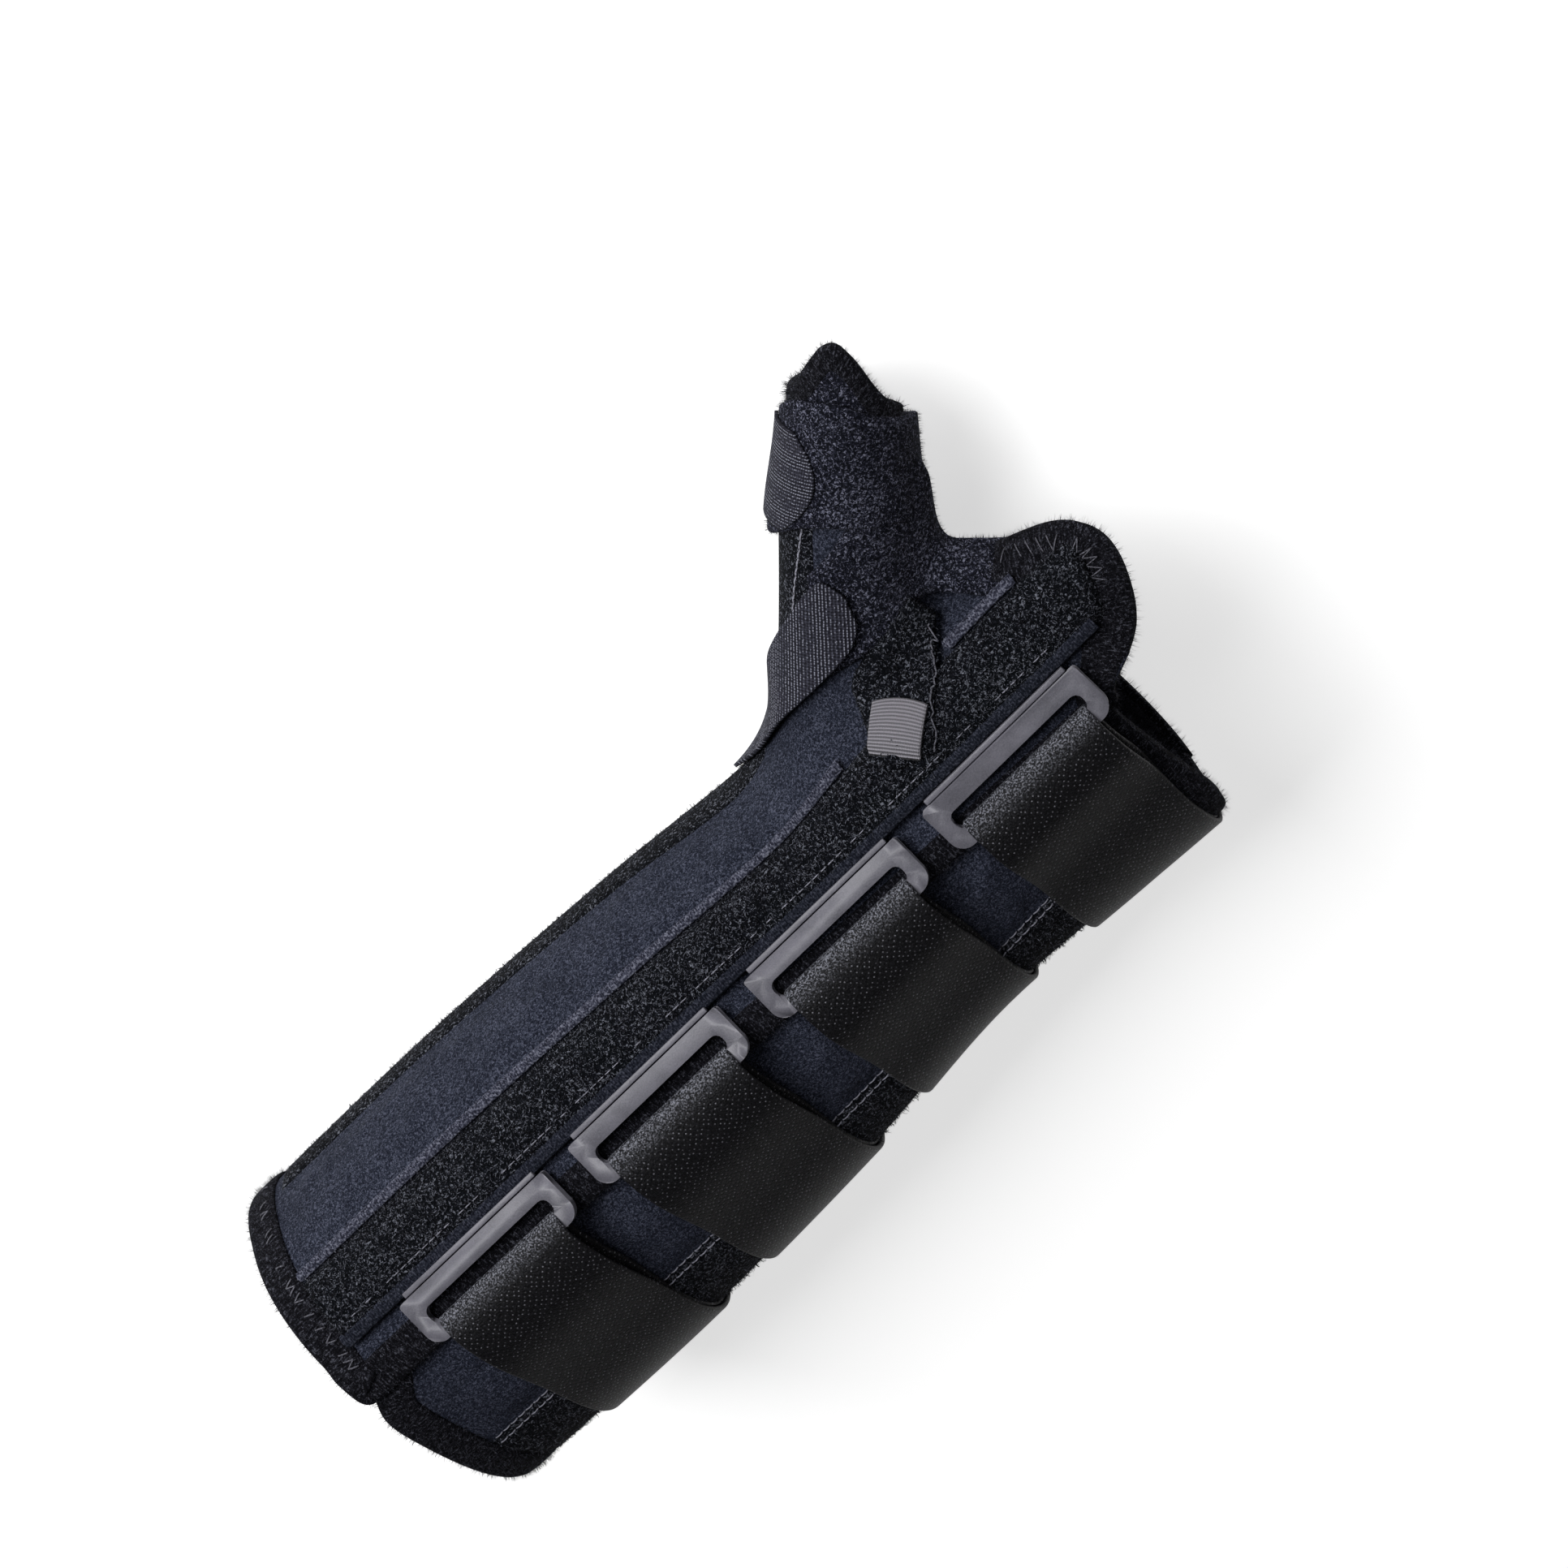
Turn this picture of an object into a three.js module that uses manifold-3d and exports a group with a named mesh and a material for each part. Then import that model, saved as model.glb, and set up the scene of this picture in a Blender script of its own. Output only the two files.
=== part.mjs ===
// Thumb spica splint for a right hand, lying palm down. Millimetres.
// +X runs from the forearm to the hand, +Y to the thumb side, +Z to the back of the hand.
import * as THREE from 'three';
import manifoldModule from 'manifold-3d';

const wasm = await manifoldModule();
wasm.setup();

// Driving dimensions of the hollow that holds the arm
const length = 267;
const halfWidth = 42;
const ulnarFullness = 1.11;
const dorsalRise = 34.5;
const palmarDrop = 34;
const thumbRadius = 13.5;
const thumbReach = 126.4;
const thumbSplay = 48.7;
const thumbDroop = 7.5;
const thumbBlend = 12;

// Cloth and padding
const wall = 2.4;
const tuckWall = 1.6;
const edgeWall = 2.0;
const gap = 0.35;
const strapGap = 0.45;
const bindingWidth = 8.5;
const flapEndBinding = 3.2;
const bindingThickness = 0.8;
const panelRise = 3.6;
const panelThinRise = 1.4;
const ridgeWidth = 2.2;
const ridgeRise = 1.1;
const clothThickness = 1.0;
const edgeSetback = 14.5;
const rimSetback = 5;

// Straps and buckles
const strapWidth = 38;
const strapThickness = 1.3;
const strapPitch = 55.4;
const firstStrap = 50.3;
const strapSlant = 5;
const strapCount = 4;
const buckleLength = 47.5;
const buckleWidth = 13;
const buckleThickness = 2.6;
const innerBar = 4.4;
const outerBar = 4;
const slotLength = 40;
const flangeWidth = 1.4;
const flangeThickness = 0.9;
const bucklePitchLow = 5.7;
const bucklePitchHigh = 9.3;
const thumbStrapWidth = 24;
const thumbStrapThickness = 1.3;
const tabThickness = 0.9;
const pullTabSize = 14;

const degrees = THREE.MathUtils.degToRad;
const smooth = THREE.MathUtils.smoothstep;
const mix = THREE.MathUtils.lerp;

// Cross-sections of the hollow: place as a share of the length, the rest as shares of the sizes above
const armSections = [
  { at: 0.0, width: 0.988, dorsal: 1.0, palmar: 1.0 },
  { at: 0.225, width: 1.0, dorsal: 0.971, palmar: 1.0 },
  { at: 0.45, width: 0.929, dorsal: 0.884, palmar: 0.996 },
  { at: 0.618, width: 0.821, dorsal: 0.768, palmar: 0.992 },
  { at: 0.768, width: 0.905, dorsal: 0.667, palmar: 0.912 },
  { at: 0.9, width: 0.964, dorsal: 0.609, palmar: 0.765 },
  { at: 1.011, width: 0.976, dorsal: 0.58, palmar: 0.676 },
];

// Half-thickness of the thumb hollow along its axis
const thumbSections = [
  { at: 0.0, radius: 1.407 },
  { at: 0.277, radius: 1.148 },
  { at: 0.475, radius: 1.0 },
  { at: 0.672, radius: 0.896 },
  { at: 0.95, radius: 0.815 },
];

// Seam lines on the dorsal side, as angles from dorsal towards the thumb side
const seamLines = [
  { at: 0, inner: 46, outer: 70 },
  { at: 0.3, inner: 47.4, outer: 71 },
  { at: 0.53, inner: 49.4, outer: 72.5 },
  { at: 0.7, inner: 51.2, outer: 75.5 },
  { at: 0.84, inner: 53, outer: 79.5 },
  { at: 0.95, inner: 54.5, outer: 80 },
];

// Distal edge of the main panel round the hand: the rounded lobe lies behind the index knuckle
const distalEdge = [
  { at: 15, reach: 0.875 },
  { at: 30, reach: 0.9 },
  { at: 38.5, reach: 0.938 },
  { at: 46, reach: 0.962 },
  { at: 60, reach: 0.985 },
  { at: 73, reach: 0.992 },
  { at: 83, reach: 0.971 },
  { at: 93, reach: 0.928 },
  { at: 101, reach: 0.89 },
  { at: 115, reach: 0.865 },
  { at: 180, reach: 0.87 },
  { at: 260, reach: 0.885 },
];

// Far edge of the thumb gutter round the thumb, as a share of the thumb reach
const thumbEdge = [
  { at: -60, reach: 0.84 },
  { at: -40, reach: 0.845 },
  { at: -24, reach: 0.875 },
  { at: -8, reach: 0.929 },
  { at: 9, reach: 0.971 },
  { at: 24, reach: 1.0 },
  { at: 45, reach: 0.98 },
  { at: 75, reach: 0.9 },
  { at: 110, reach: 0.86 },
  { at: 205, reach: 0.83 },
];

const flapReach = 0.897;
const flapSide = -104;
const panelSide = 255.5;
const tuckAngle = 35.5;
const angleStep = 7.5;
const gutterSide = { web: -58, palmar: 200 };

// Value of one column of a table at a place, on a smooth curve through its rows
function along(table, column, place) {
  const last = table.length - 1;
  const clamped = THREE.MathUtils.clamp(place, table[0].at, table[last].at);
  let i = 0;
  while (i < last - 1 && clamped > table[i + 1].at) i += 1;
  const slope = (k) => {
    const before = table[Math.max(k - 1, 0)];
    const after = table[Math.min(k + 1, last)];
    return (after[column] - before[column]) / (after.at - before.at);
  };
  const span = table[i + 1].at - table[i].at;
  const t = (clamped - table[i].at) / span;
  const curve = (2 * t ** 3 - 3 * t ** 2 + 1) * table[i][column]
    + (3 * t ** 2 - 2 * t ** 3) * table[i + 1][column];
  return curve + span * ((t ** 3 - 2 * t ** 2 + t) * slope(i) + (t ** 3 - t ** 2) * slope(i + 1));
}

const innerSeam = (x) => along(seamLines, 'inner', x / length);
const outerSeam = (x) => along(seamLines, 'outer', x / length);
const panelEdge = (x) => innerSeam(x) - THREE.MathUtils.radToDeg(edgeSetback / (armRadius(x, 36) + wall));

// Radius of the bare arm hollow at an angle, a rounded box that is flatter on the palmar side
function armRadius(x, angle) {
  const swing = Math.sin(degrees(angle));
  const side = Math.abs(swing);
  const up = Math.cos(degrees(angle));
  const place = x / length;
  const half = halfWidth * along(armSections, 'width', place) * (swing < 0 ? ulnarFullness : 1);
  const height = up >= 0
    ? dorsalRise * along(armSections, 'dorsal', place)
    : palmarDrop * along(armSections, 'palmar', place);
  const dorsalPower = swing < 0 ? 2.5 : 2.2;
  const power = up >= 0 ? dorsalPower : 2.8;
  return ((side / half) ** power + (Math.abs(up) / height) ** power) ** (-1 / power);
}

const thumbFoot = new THREE.Vector3(length * 0.6536, halfWidth * 0.25, -palmarDrop * 0.206);
const thumbAxis = new THREE.Vector3(
  Math.cos(degrees(thumbSplay)) * Math.cos(degrees(thumbDroop)),
  Math.sin(degrees(thumbSplay)) * Math.cos(degrees(thumbDroop)),
  -Math.sin(degrees(thumbDroop)),
);
const thumbUp = new THREE.Vector3(0, 0, 1).addScaledVector(thumbAxis, -thumbAxis.z).normalize();
const thumbSide = new THREE.Vector3().crossVectors(thumbUp, thumbAxis);

function armDistance(point) {
  const reach = Math.hypot(point.y, point.z);
  const angle = THREE.MathUtils.radToDeg(Math.atan2(point.y, point.z));
  return reach - armRadius(point.x, angle);
}

function thumbDistance(point) {
  const offset = point.clone().sub(thumbFoot);
  const place = offset.dot(thumbAxis);
  offset.addScaledVector(thumbAxis, -place);
  const radius = thumbRadius * along(thumbSections, 'radius', place / thumbReach);
  return Math.hypot(offset.length(), Math.min(place, 0)) - radius;
}

// Distance from the hollow of arm and thumb together, with a soft web between them
function hollowDistance(point) {
  const arm = armDistance(point);
  const thumb = thumbDistance(point);
  const share = THREE.MathUtils.clamp(0.5 + (0.5 * (thumb - arm)) / thumbBlend, 0, 1);
  return mix(thumb, arm, share) - thumbBlend * share * (1 - share);
}

// Walks outwards from a start until the hollow is as far below as the lift says
function walkOut(start, direction, lift, limit) {
  const point = start.clone();
  let walked = 0;
  for (let i = 0; i < 60; i += 1) {
    const short = lift - hollowDistance(point);
    if (short < 1e-4 || walked >= limit) break;
    const step = Math.min(Math.max(short * 0.8, 0.01), limit - walked + 1e-6);
    walked += step;
    point.addScaledVector(direction, step);
  }
  return point;
}

function armPoint(x, angle, lift) {
  const direction = new THREE.Vector3(0, Math.sin(degrees(angle)), Math.cos(degrees(angle)));
  const start = direction.clone().multiplyScalar(armRadius(x, angle) + lift);
  start.x = x;
  return walkOut(start, direction, lift, 8);
}

function thumbPoint(place, angle, lift) {
  const direction = thumbUp.clone().multiplyScalar(Math.cos(degrees(angle)));
  direction.addScaledVector(thumbSide, Math.sin(degrees(angle)));
  const radius = thumbRadius * along(thumbSections, 'radius', place / thumbReach) + lift;
  const start = thumbFoot.clone().addScaledVector(thumbAxis, place).addScaledVector(direction, radius);
  return walkOut(start, direction, lift, 2.3 * thumbRadius - radius + lift);
}

function range(low, high, step) {
  const count = Math.max(1, Math.round((high - low) / step));
  return Array.from({ length: count + 1 }, (unused, i) => mix(low, high, i / count));
}

// Both ends, with the multiples of the angle step that lie well between them
function angleColumns(low, high) {
  const columns = [low];
  for (let angle = Math.ceil(low / angleStep) * angleStep; angle < high - 2; angle += angleStep) {
    if (angle > low + 2) columns.push(angle);
  }
  return [...columns, high];
}

function makeGeometry(points, faces) {
  const geometry = new THREE.BufferGeometry();
  geometry.setAttribute('position', new THREE.Float32BufferAttribute(points.flatMap((p) => p.toArray()), 3));
  let volume = 0;
  for (const [a, b, c] of faces) {
    volume += points[a].dot(new THREE.Vector3().crossVectors(points[b], points[c]));
  }
  geometry.setIndex(faces.flatMap(([a, b, c]) => (volume > 0 ? [a, b, c] : [a, c, b])));
  return geometry;
}

// Closed solid between two grids of points, given as functions of row and column
function slab(rows, columns, low, high) {
  const points = [];
  const faces = [];
  const width = columns.length;
  const layer = rows.length * width;
  for (const side of [low, high]) {
    for (const row of rows) {
      for (const column of columns) points.push(side(row, column));
    }
  }
  const quad = (a, b, c, d) => faces.push([a, b, c], [a, c, d]);
  for (let i = 0; i < rows.length - 1; i += 1) {
    for (let j = 0; j < width - 1; j += 1) {
      const a = i * width + j;
      quad(a, a + 1, a + width + 1, a + width);
      quad(layer + a, layer + a + width, layer + a + width + 1, layer + a + 1);
    }
  }
  const rim = [];
  for (let j = 0; j < width - 1; j += 1) rim.push(j);
  for (let i = 0; i < rows.length - 1; i += 1) rim.push(i * width + width - 1);
  for (let j = width - 1; j > 0; j -= 1) rim.push((rows.length - 1) * width + j);
  for (let i = rows.length - 1; i > 0; i -= 1) rim.push(i * width);
  rim.forEach((a, k) => {
    const b = rim[(k + 1) % rim.length];
    quad(a, layer + a, layer + b, b);
  });
  return makeGeometry(points, faces);
}

// Closed solid round an axis: rings of points with a fan over each end
function tube(rows, columns, pointAt) {
  const points = [];
  const faces = [];
  const width = columns.length;
  for (const row of rows) {
    for (const column of columns) points.push(pointAt(row, column));
  }
  for (let i = 0; i < rows.length - 1; i += 1) {
    for (let j = 0; j < width; j += 1) {
      const a = i * width + j;
      const b = i * width + ((j + 1) % width);
      faces.push([a, b, b + width], [a, b + width, a + width]);
    }
  }
  for (const start of [0, (rows.length - 1) * width]) {
    const ring = points.slice(start, start + width);
    const centre = ring.reduce((sum, p) => sum.add(p), new THREE.Vector3()).divideScalar(width);
    points.push(centre);
    for (let j = 0; j < width; j += 1) {
      const a = start + j;
      const b = start + ((j + 1) % width);
      faces.push(start === 0 ? [points.length - 1, b, a] : [points.length - 1, a, b]);
    }
  }
  return makeGeometry(points, faces);
}

// Closed ring between an inner and an outer surface
function ring(rows, columns, low, high) {
  const points = [];
  const faces = [];
  const section = [...rows.map((row) => [row, low]), ...[...rows].reverse().map((row) => [row, high])];
  for (const column of columns) {
    for (const [row, side] of section) points.push(side(row, column));
  }
  const width = section.length;
  const total = points.length;
  for (let i = 0; i < columns.length; i += 1) {
    for (let j = 0; j < width; j += 1) {
      const a = i * width + j;
      const b = i * width + ((j + 1) % width);
      faces.push([a, b, (b + width) % total], [a, (b + width) % total, (a + width) % total]);
    }
  }
  return makeGeometry(points, faces);
}

// Closed solid through sections of the same corners, capped at both ends
function loft(sections, capFaces) {
  const points = sections.flat();
  const faces = [];
  const width = sections[0].length;
  for (let i = 0; i < sections.length - 1; i += 1) {
    for (let j = 0; j < width; j += 1) {
      const a = i * width + j;
      const b = i * width + ((j + 1) % width);
      faces.push([a, b, b + width], [a, b + width, a + width]);
    }
  }
  const start = points.length - width;
  for (const [a, b, c] of capFaces) {
    faces.push([a, c, b], [start + a, start + b, start + c]);
  }
  return makeGeometry(points, faces);
}

function toManifold(geometry) {
  const position = geometry.getAttribute('position');
  const index = geometry.getIndex();
  const mesh = new wasm.Mesh({
    numProp: 3,
    vertProperties: new Float32Array(position.array),
    triVerts: new Uint32Array(index.array),
  });
  return new wasm.Manifold(mesh);
}

function fromManifold(solid) {
  const mesh = solid.getMesh();
  const geometry = new THREE.BufferGeometry();
  geometry.setAttribute('position', new THREE.BufferAttribute(new Float32Array(mesh.vertProperties), 3));
  geometry.setIndex(new THREE.BufferAttribute(new Uint32Array(mesh.triVerts), 1));
  return geometry;
}

// Lift of the main panel where it lies over the tucked edge of the flap
const tuckLift = tuckWall + gap;
const overFlap = (angle) => (angle > 180 ? 0 : tuckLift * (1 - smooth(angle, tuckAngle + 2, 45)));
const panelTop = (angle) => overFlap(angle) + (angle > 180 ? wall : mix(edgeWall, wall, smooth(angle, 37, 45)));
const distalReach = (angle) => length * along(distalEdge, 'reach', angle);
const cornerReach = () => distalReach(29);
const gutterReach = (angle) => thumbReach * along(thumbEdge, 'reach', angle);

// Main panel: one wall round the dorsal, thumb and palmar sides, with the thumb gutter grown out of it
function mainPanel() {
  const rows = range(0, 1, 1 / 15).map((row) => 1 - (1 - row) ** 1.3);
  const columns = ['edge', ...angleColumns(37.5, panelSide)];
  const place = (row, column) => {
    const x = mix(rimSetback, column === 'edge' ? cornerReach() : distalReach(column), row);
    return { x, angle: column === 'edge' ? panelEdge(x) : column };
  };
  const face = (lift) => (row, column) => {
    const { x, angle } = place(row, column);
    return armPoint(x, angle, lift(angle));
  };
  const wrap = toManifold(slab(rows, columns, face(overFlap), face(panelTop)));
  const around = range(0, 345, 15);
  const clear = (place) => smooth(place, 0.28 * thumbReach, 0.5 * thumbReach);
  const armHollow = toManifold(tube(range(-10, length + 15, 22), range(0, 345, 15),
    (x, angle) => armPoint(x, angle, wall / 2)));
  const thumbHollow = toManifold(tube(range(4, thumbReach + 14, 12), around,
    (place, angle) => thumbPoint(place, angle, clear(place) - 1)));
  const thumbOutside = toManifold(tube(range(0, 1, 1 / 10), around, (row, angle) => {
    const turned = angle > 280 ? angle - 360 : angle;
    const place = mix(10, gutterReach(turned), row);
    return thumbPoint(place, angle, wall * mix(0.5, 1, clear(place)));
  }));
  const webCut = toManifold(slab(range(48, thumbReach + 10, 12), range(gutterSide.palmar, 360 + gutterSide.web, 17),
    (x, angle) => thumbPoint(x, angle, -9), (x, angle) => thumbPoint(x, angle, 12)));
  const gutter = thumbOutside.subtract(thumbHollow).subtract(armHollow).subtract(webCut);
  return fromManifold(largest(wrap.subtract(thumbHollow).add(gutter)));
}

// Drops the crumbs that a cut through two curved walls can leave
function largest(solid) {
  return solid.decompose().reduce((best, piece) => (piece.volume() > best.volume() ? piece : best));
}

// Ulnar flap: passes under the main panel's free edge on the dorsal side
function ulnarFlap() {
  const thickness = (angle) => mix(wall, tuckWall, smooth(angle, 6, 22.5));
  return slab(range(0, 1, 1 / 13), angleColumns(flapSide, tuckAngle),
    (row, angle) => armPoint(mix(flapStart(angle), length * flapReach, row), angle, 0),
    (row, angle) => armPoint(mix(flapStart(angle), length * flapReach, row), angle, thickness(angle)));
}

const flapStart = (angle) => 12 * smooth(angle, 15, tuckAngle + 8);

// Fuzzy edge binding: an L-shaped strip over the outer face and the cut edge
function binding(path, inward, top, bottom, width = bindingWidth) {
  const nose = bindingThickness + gap;
  const corners = [[-nose, 'low'], [-gap, 'low'], [-gap, 'mid'], [width / 2, 'mid'], [width, 'mid'],
    [width, 'high'], [width / 2, 'high'], [-nose, 'high']];
  const capFaces = [[0, 1, 2], [0, 2, 7], [2, 3, 6], [2, 6, 7], [3, 4, 5], [3, 5, 6]];
  const sections = path.map((step) => corners.map(([shift, level]) => {
    const { x, angle } = inward(step, shift);
    const mid = top(angle) + 2.3 * gap;
    const lift = { low: bottom(angle), mid, high: mid + bindingThickness }[level];
    return armPoint(x, angle, lift);
  }));
  return loft(sections, capFaces);
}

// Steps round the main panel: up its proximal rim, along the free edge and round the lobe
function mainBindingPath() {
  const rim = angleColumns(52.5, panelSide).reverse().map((angle) => ({ side: 'rim', angle }));
  const edge = range(rimSetback + bindingWidth + gap, cornerReach() - bindingWidth - gap, 16)
    .map((x) => ({ side: 'edge', x }));
  const lobe = ['edge', ...angleColumns(37.5, 90)].map((angle) => ({ side: 'lobe', angle }));
  return { rim, edge, lobe };
}

function placeFromStep(step, shift) {
  if (step.side === 'rim') return { x: rimSetback + shift, angle: step.angle };
  if (step.side === 'lobe' && step.angle === 'edge') {
    return { x: cornerReach() + 3 * gap - shift, angle: panelEdge(cornerReach() - shift) };
  }
  if (step.side === 'lobe') return { x: distalReach(step.angle) - shift, angle: step.angle };
  const turn = THREE.MathUtils.radToDeg(shift / armRadius(step.x, 30));
  return { x: step.x, angle: panelEdge(step.x) + turn };
}

// Seam between panels, a low ribbed ridge
function ridge(start, end, seam, lift) {
  const turn = THREE.MathUtils.radToDeg(ridgeWidth / 2 / halfWidth);
  return slab(range(start, end, 14), [-1, 0, 1],
    (x, side) => armPoint(x, seam(x) + side * turn, lift(x)),
    (x, side) => armPoint(x, seam(x) + side * turn, lift(x) + ridgeRise * (side === 0 ? 1 : 0.55)));
}

const panelLow = wall + 2 * gap;
const panelShare = (x, angle) => smooth(angle, outerSeam(x) - 13, outerSeam(x) - 1);
const panelHigh = (x, angle) => panelLow + mix(panelRise, panelThinRise, panelShare(x, angle));

// Loop-pile panel on the dorsal side, raised by the stay under it
function dorsalPanel() {
  const turn = THREE.MathUtils.radToDeg(ridgeWidth / 2 / halfWidth) + 0.6;
  const columns = ['inner', 'half', 60, 67.5, 'outer'];
  const angleOf = (x, column) => {
    const inner = innerSeam(x) - turn;
    const named = { inner, half: mix(inner, 60, 0.5), outer: outerSeam(x) - turn };
    return named[column] ?? column;
  };
  const start = rimSetback + bindingWidth + gap;
  const face = (lift) => (row, column) => {
    const nominal = angleOf(length * 0.9, column);
    const x = mix(start, Math.min(length * 0.945, distalReach(nominal) - bindingWidth - 2 * gap), row);
    return armPoint(x, angleOf(x, column), lift(x, angleOf(x, column)));
  };
  return slab(range(0, 1, 1 / 17), columns, face(() => panelLow), face(panelHigh));
}

function roundedOutline(outline, left, right, low, high, innerRadius, outerRadius) {
  outline.moveTo(left + innerRadius, low);
  outline.lineTo(right - innerRadius, low);
  outline.absarc(right - innerRadius, low + innerRadius, innerRadius, -Math.PI / 2, 0);
  outline.absarc(right - outerRadius, high - outerRadius, outerRadius, 0, Math.PI / 2);
  outline.absarc(left + outerRadius, high - outerRadius, outerRadius, Math.PI / 2, Math.PI);
  outline.absarc(left + innerRadius, low + innerRadius, innerRadius, Math.PI, 1.5 * Math.PI);
  return outline;
}

// Buckle frame in its own plane: inner bar at zero, outer bar at the buckle's width
function buckleGeometry() {
  const outline = roundedOutline(new THREE.Shape(), -buckleLength / 2, buckleLength / 2, 0, buckleWidth, 0.8, 4.5);
  outline.holes.push(roundedOutline(new THREE.Path(), -slotLength / 2, slotLength / 2, innerBar,
    buckleWidth - outerBar, 1.5, 1.5));
  const frame = new THREE.ExtrudeGeometry(outline, { depth: buckleThickness, bevelEnabled: false, curveSegments: 4 });
  const flange = new THREE.BoxGeometry(slotLength + 3, flangeWidth + 0.6, flangeThickness);
  flange.translate(0, 0.3 - flangeWidth / 2, flangeThickness / 2);
  return fromManifold(toManifold(weld(frame)).add(toManifold(weld(flange))));
}

// Same shape with one vertex at each corner
function weld(source) {
  const position = source.getAttribute('position');
  const index = source.getIndex();
  const count = index ? index.count : position.count;
  const lookup = new Map();
  const points = [];
  const corners = [];
  for (let i = 0; i < count; i += 1) {
    const point = new THREE.Vector3().fromBufferAttribute(position, index ? index.getX(i) : i);
    const key = point.toArray().map((value) => Math.round(value * 1e4)).join();
    if (!lookup.has(key)) {
      lookup.set(key, points.length);
      points.push(point);
    }
    corners.push(lookup.get(key));
  }
  const faces = [];
  for (let i = 0; i < count; i += 3) faces.push(corners.slice(i, i + 3));
  return makeGeometry(points, faces.filter(([a, b, c]) => a !== b && b !== c && a !== c));
}

// Where a buckle lies: its inner bar beside the inner seam, its outer bar raised for the strap
function buckleFrame(x) {
  const turn = (distance) => THREE.MathUtils.radToDeg(distance / (armRadius(x, 36) + wall));
  const innerAngle = (place) => innerSeam(place) - turn(ridgeWidth / 2 + gap + flangeWidth + 0.4);
  const origin = armPoint(x, innerAngle(x), bucklePitchLow);
  const outer = armPoint(x, innerAngle(x) - turn(buckleWidth), bucklePitchHigh);
  const half = buckleLength / 2;
  const before = armPoint(x - half, innerAngle(x - half), bucklePitchLow);
  const after = armPoint(x + half, innerAngle(x + half), bucklePitchLow);
  const forward = after.sub(before).normalize();
  const across = outer.sub(origin);
  across.addScaledVector(forward, -across.dot(forward)).normalize();
  const normal = new THREE.Vector3().crossVectors(across, forward);
  return { origin, across, normal, forward, outerAngle: innerAngle(x) - turn(buckleWidth) };
}

function bucklePoint(frame, shift, across, normal) {
  return frame.origin.clone().addScaledVector(frame.forward, shift)
    .addScaledVector(frame.across, across).addScaledVector(frame.normal, normal);
}

// The straps lie on the floor here, pressed flat by a little
const restPress = 0.7;
const restHeight = -(palmarDrop + wall + strapGap + 2 * strapThickness + gap - restPress);

// Strap: comes round the ulnar side, up through the slot, over the outer bar and back over itself
function strap(x) {
  const frame = buckleFrame(x);
  const reach = strapGap + strapThickness / 2;
  const anchor = 150 - 360;
  const hookEnd = 160 - 360;
  const join = frame.outerAngle - 8;
  const lowerAngles = angleColumns(anchor, join);
  const upperAngles = angleColumns(hookEnd, join - 2).reverse();
  const rise = bucklePitchHigh - wall - reach;
  const lowerLift = (angle) => wall + reach + rise * 0.75 * smooth(angle, join - 28, join + 10);
  const upperLift = (angle) => wall + reach + strapThickness + gap
    + (rise + buckleThickness) * smooth(angle, join - 46, join + 16);
  const bend = buckleThickness / 2 + reach;
  const turnCentre = buckleWidth - outerBar + 1;
  const slant = (angle) => -strapSlant * smooth(join - angle, 0, 100);
  const path = [
    ...lowerAngles.map((angle) => (shift) => armPoint(x + shift + slant(angle), angle, lowerLift(angle))),
    ...[buckleWidth + 1.5, turnCentre + 0.8].map((across) => (shift) => bucklePoint(frame, shift, across, -reach)),
    ...range(-90, 90, 36).map((turn) => (shift) => bucklePoint(frame, shift,
      turnCentre - bend * Math.cos(degrees(turn)), buckleThickness / 2 + bend * Math.sin(degrees(turn)))),
    ...[buckleWidth - 1, buckleWidth + 2].map((across) => (shift) =>
      bucklePoint(frame, shift, across, buckleThickness + reach)),
    ...upperAngles.map((angle) => (shift) => armPoint(x + shift + slant(angle), angle, upperLift(angle))),
  ];
  const across = [-strapWidth / 2, 0, strapWidth / 2];
  const middle = path.map((pointAt) => across.map((shift) => pointAt(shift)));
  const side = (sign) => (row, column) => {
    const before = middle[Math.max(row - 1, 0)][column];
    const after = middle[Math.min(row + 1, middle.length - 1)][column];
    const run = after.clone().sub(before);
    run.x = 0;
    const normal = new THREE.Vector3(0, -run.z, run.y).normalize();
    const point = middle[row][column].clone().addScaledVector(normal, (sign * strapThickness) / 2);
    point.z = Math.max(point.z, restHeight);
    return point;
  };
  return slab(middle.map((unused, i) => i), [0, 1, 2], side(-1), side(1));
}

// Strap round the thumb, slanted along its lower edge
function thumbStrap() {
  const low = wall + gap;
  const tilt = (angle) => Math.cos(degrees(angle - 110));
  const start = (angle) => thumbReach * 0.69 - 1.5 * tilt(angle);
  const place = (row, angle) => start(angle) + row * (thumbStrapWidth + 3.5 * tilt(angle));
  return ring([0, 0.5, 1], range(0, 345, 15),
    (row, angle) => thumbPoint(place(row, angle), angle, low),
    (row, angle) => thumbPoint(place(row, angle), angle, low + thumbStrapThickness));
}

// Strap over the web of the thumb: columns along it, low and high edge as thumb angle and reach
const webEdges = [
  { at: 0.0, lowAngle: 37, low: 0.36, highAngle: 50, high: 0.55 },
  { at: 0.25, lowAngle: 12, low: 0.41, highAngle: 34, high: 0.61 },
  { at: 0.5, lowAngle: -15, low: 0.465, highAngle: 0, high: 0.66 },
  { at: 0.75, lowAngle: -40, low: 0.525, highAngle: -38, high: 0.67 },
  { at: 1.0, lowAngle: -50, low: 0.565, highAngle: -62, high: 0.67 },
];

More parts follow.
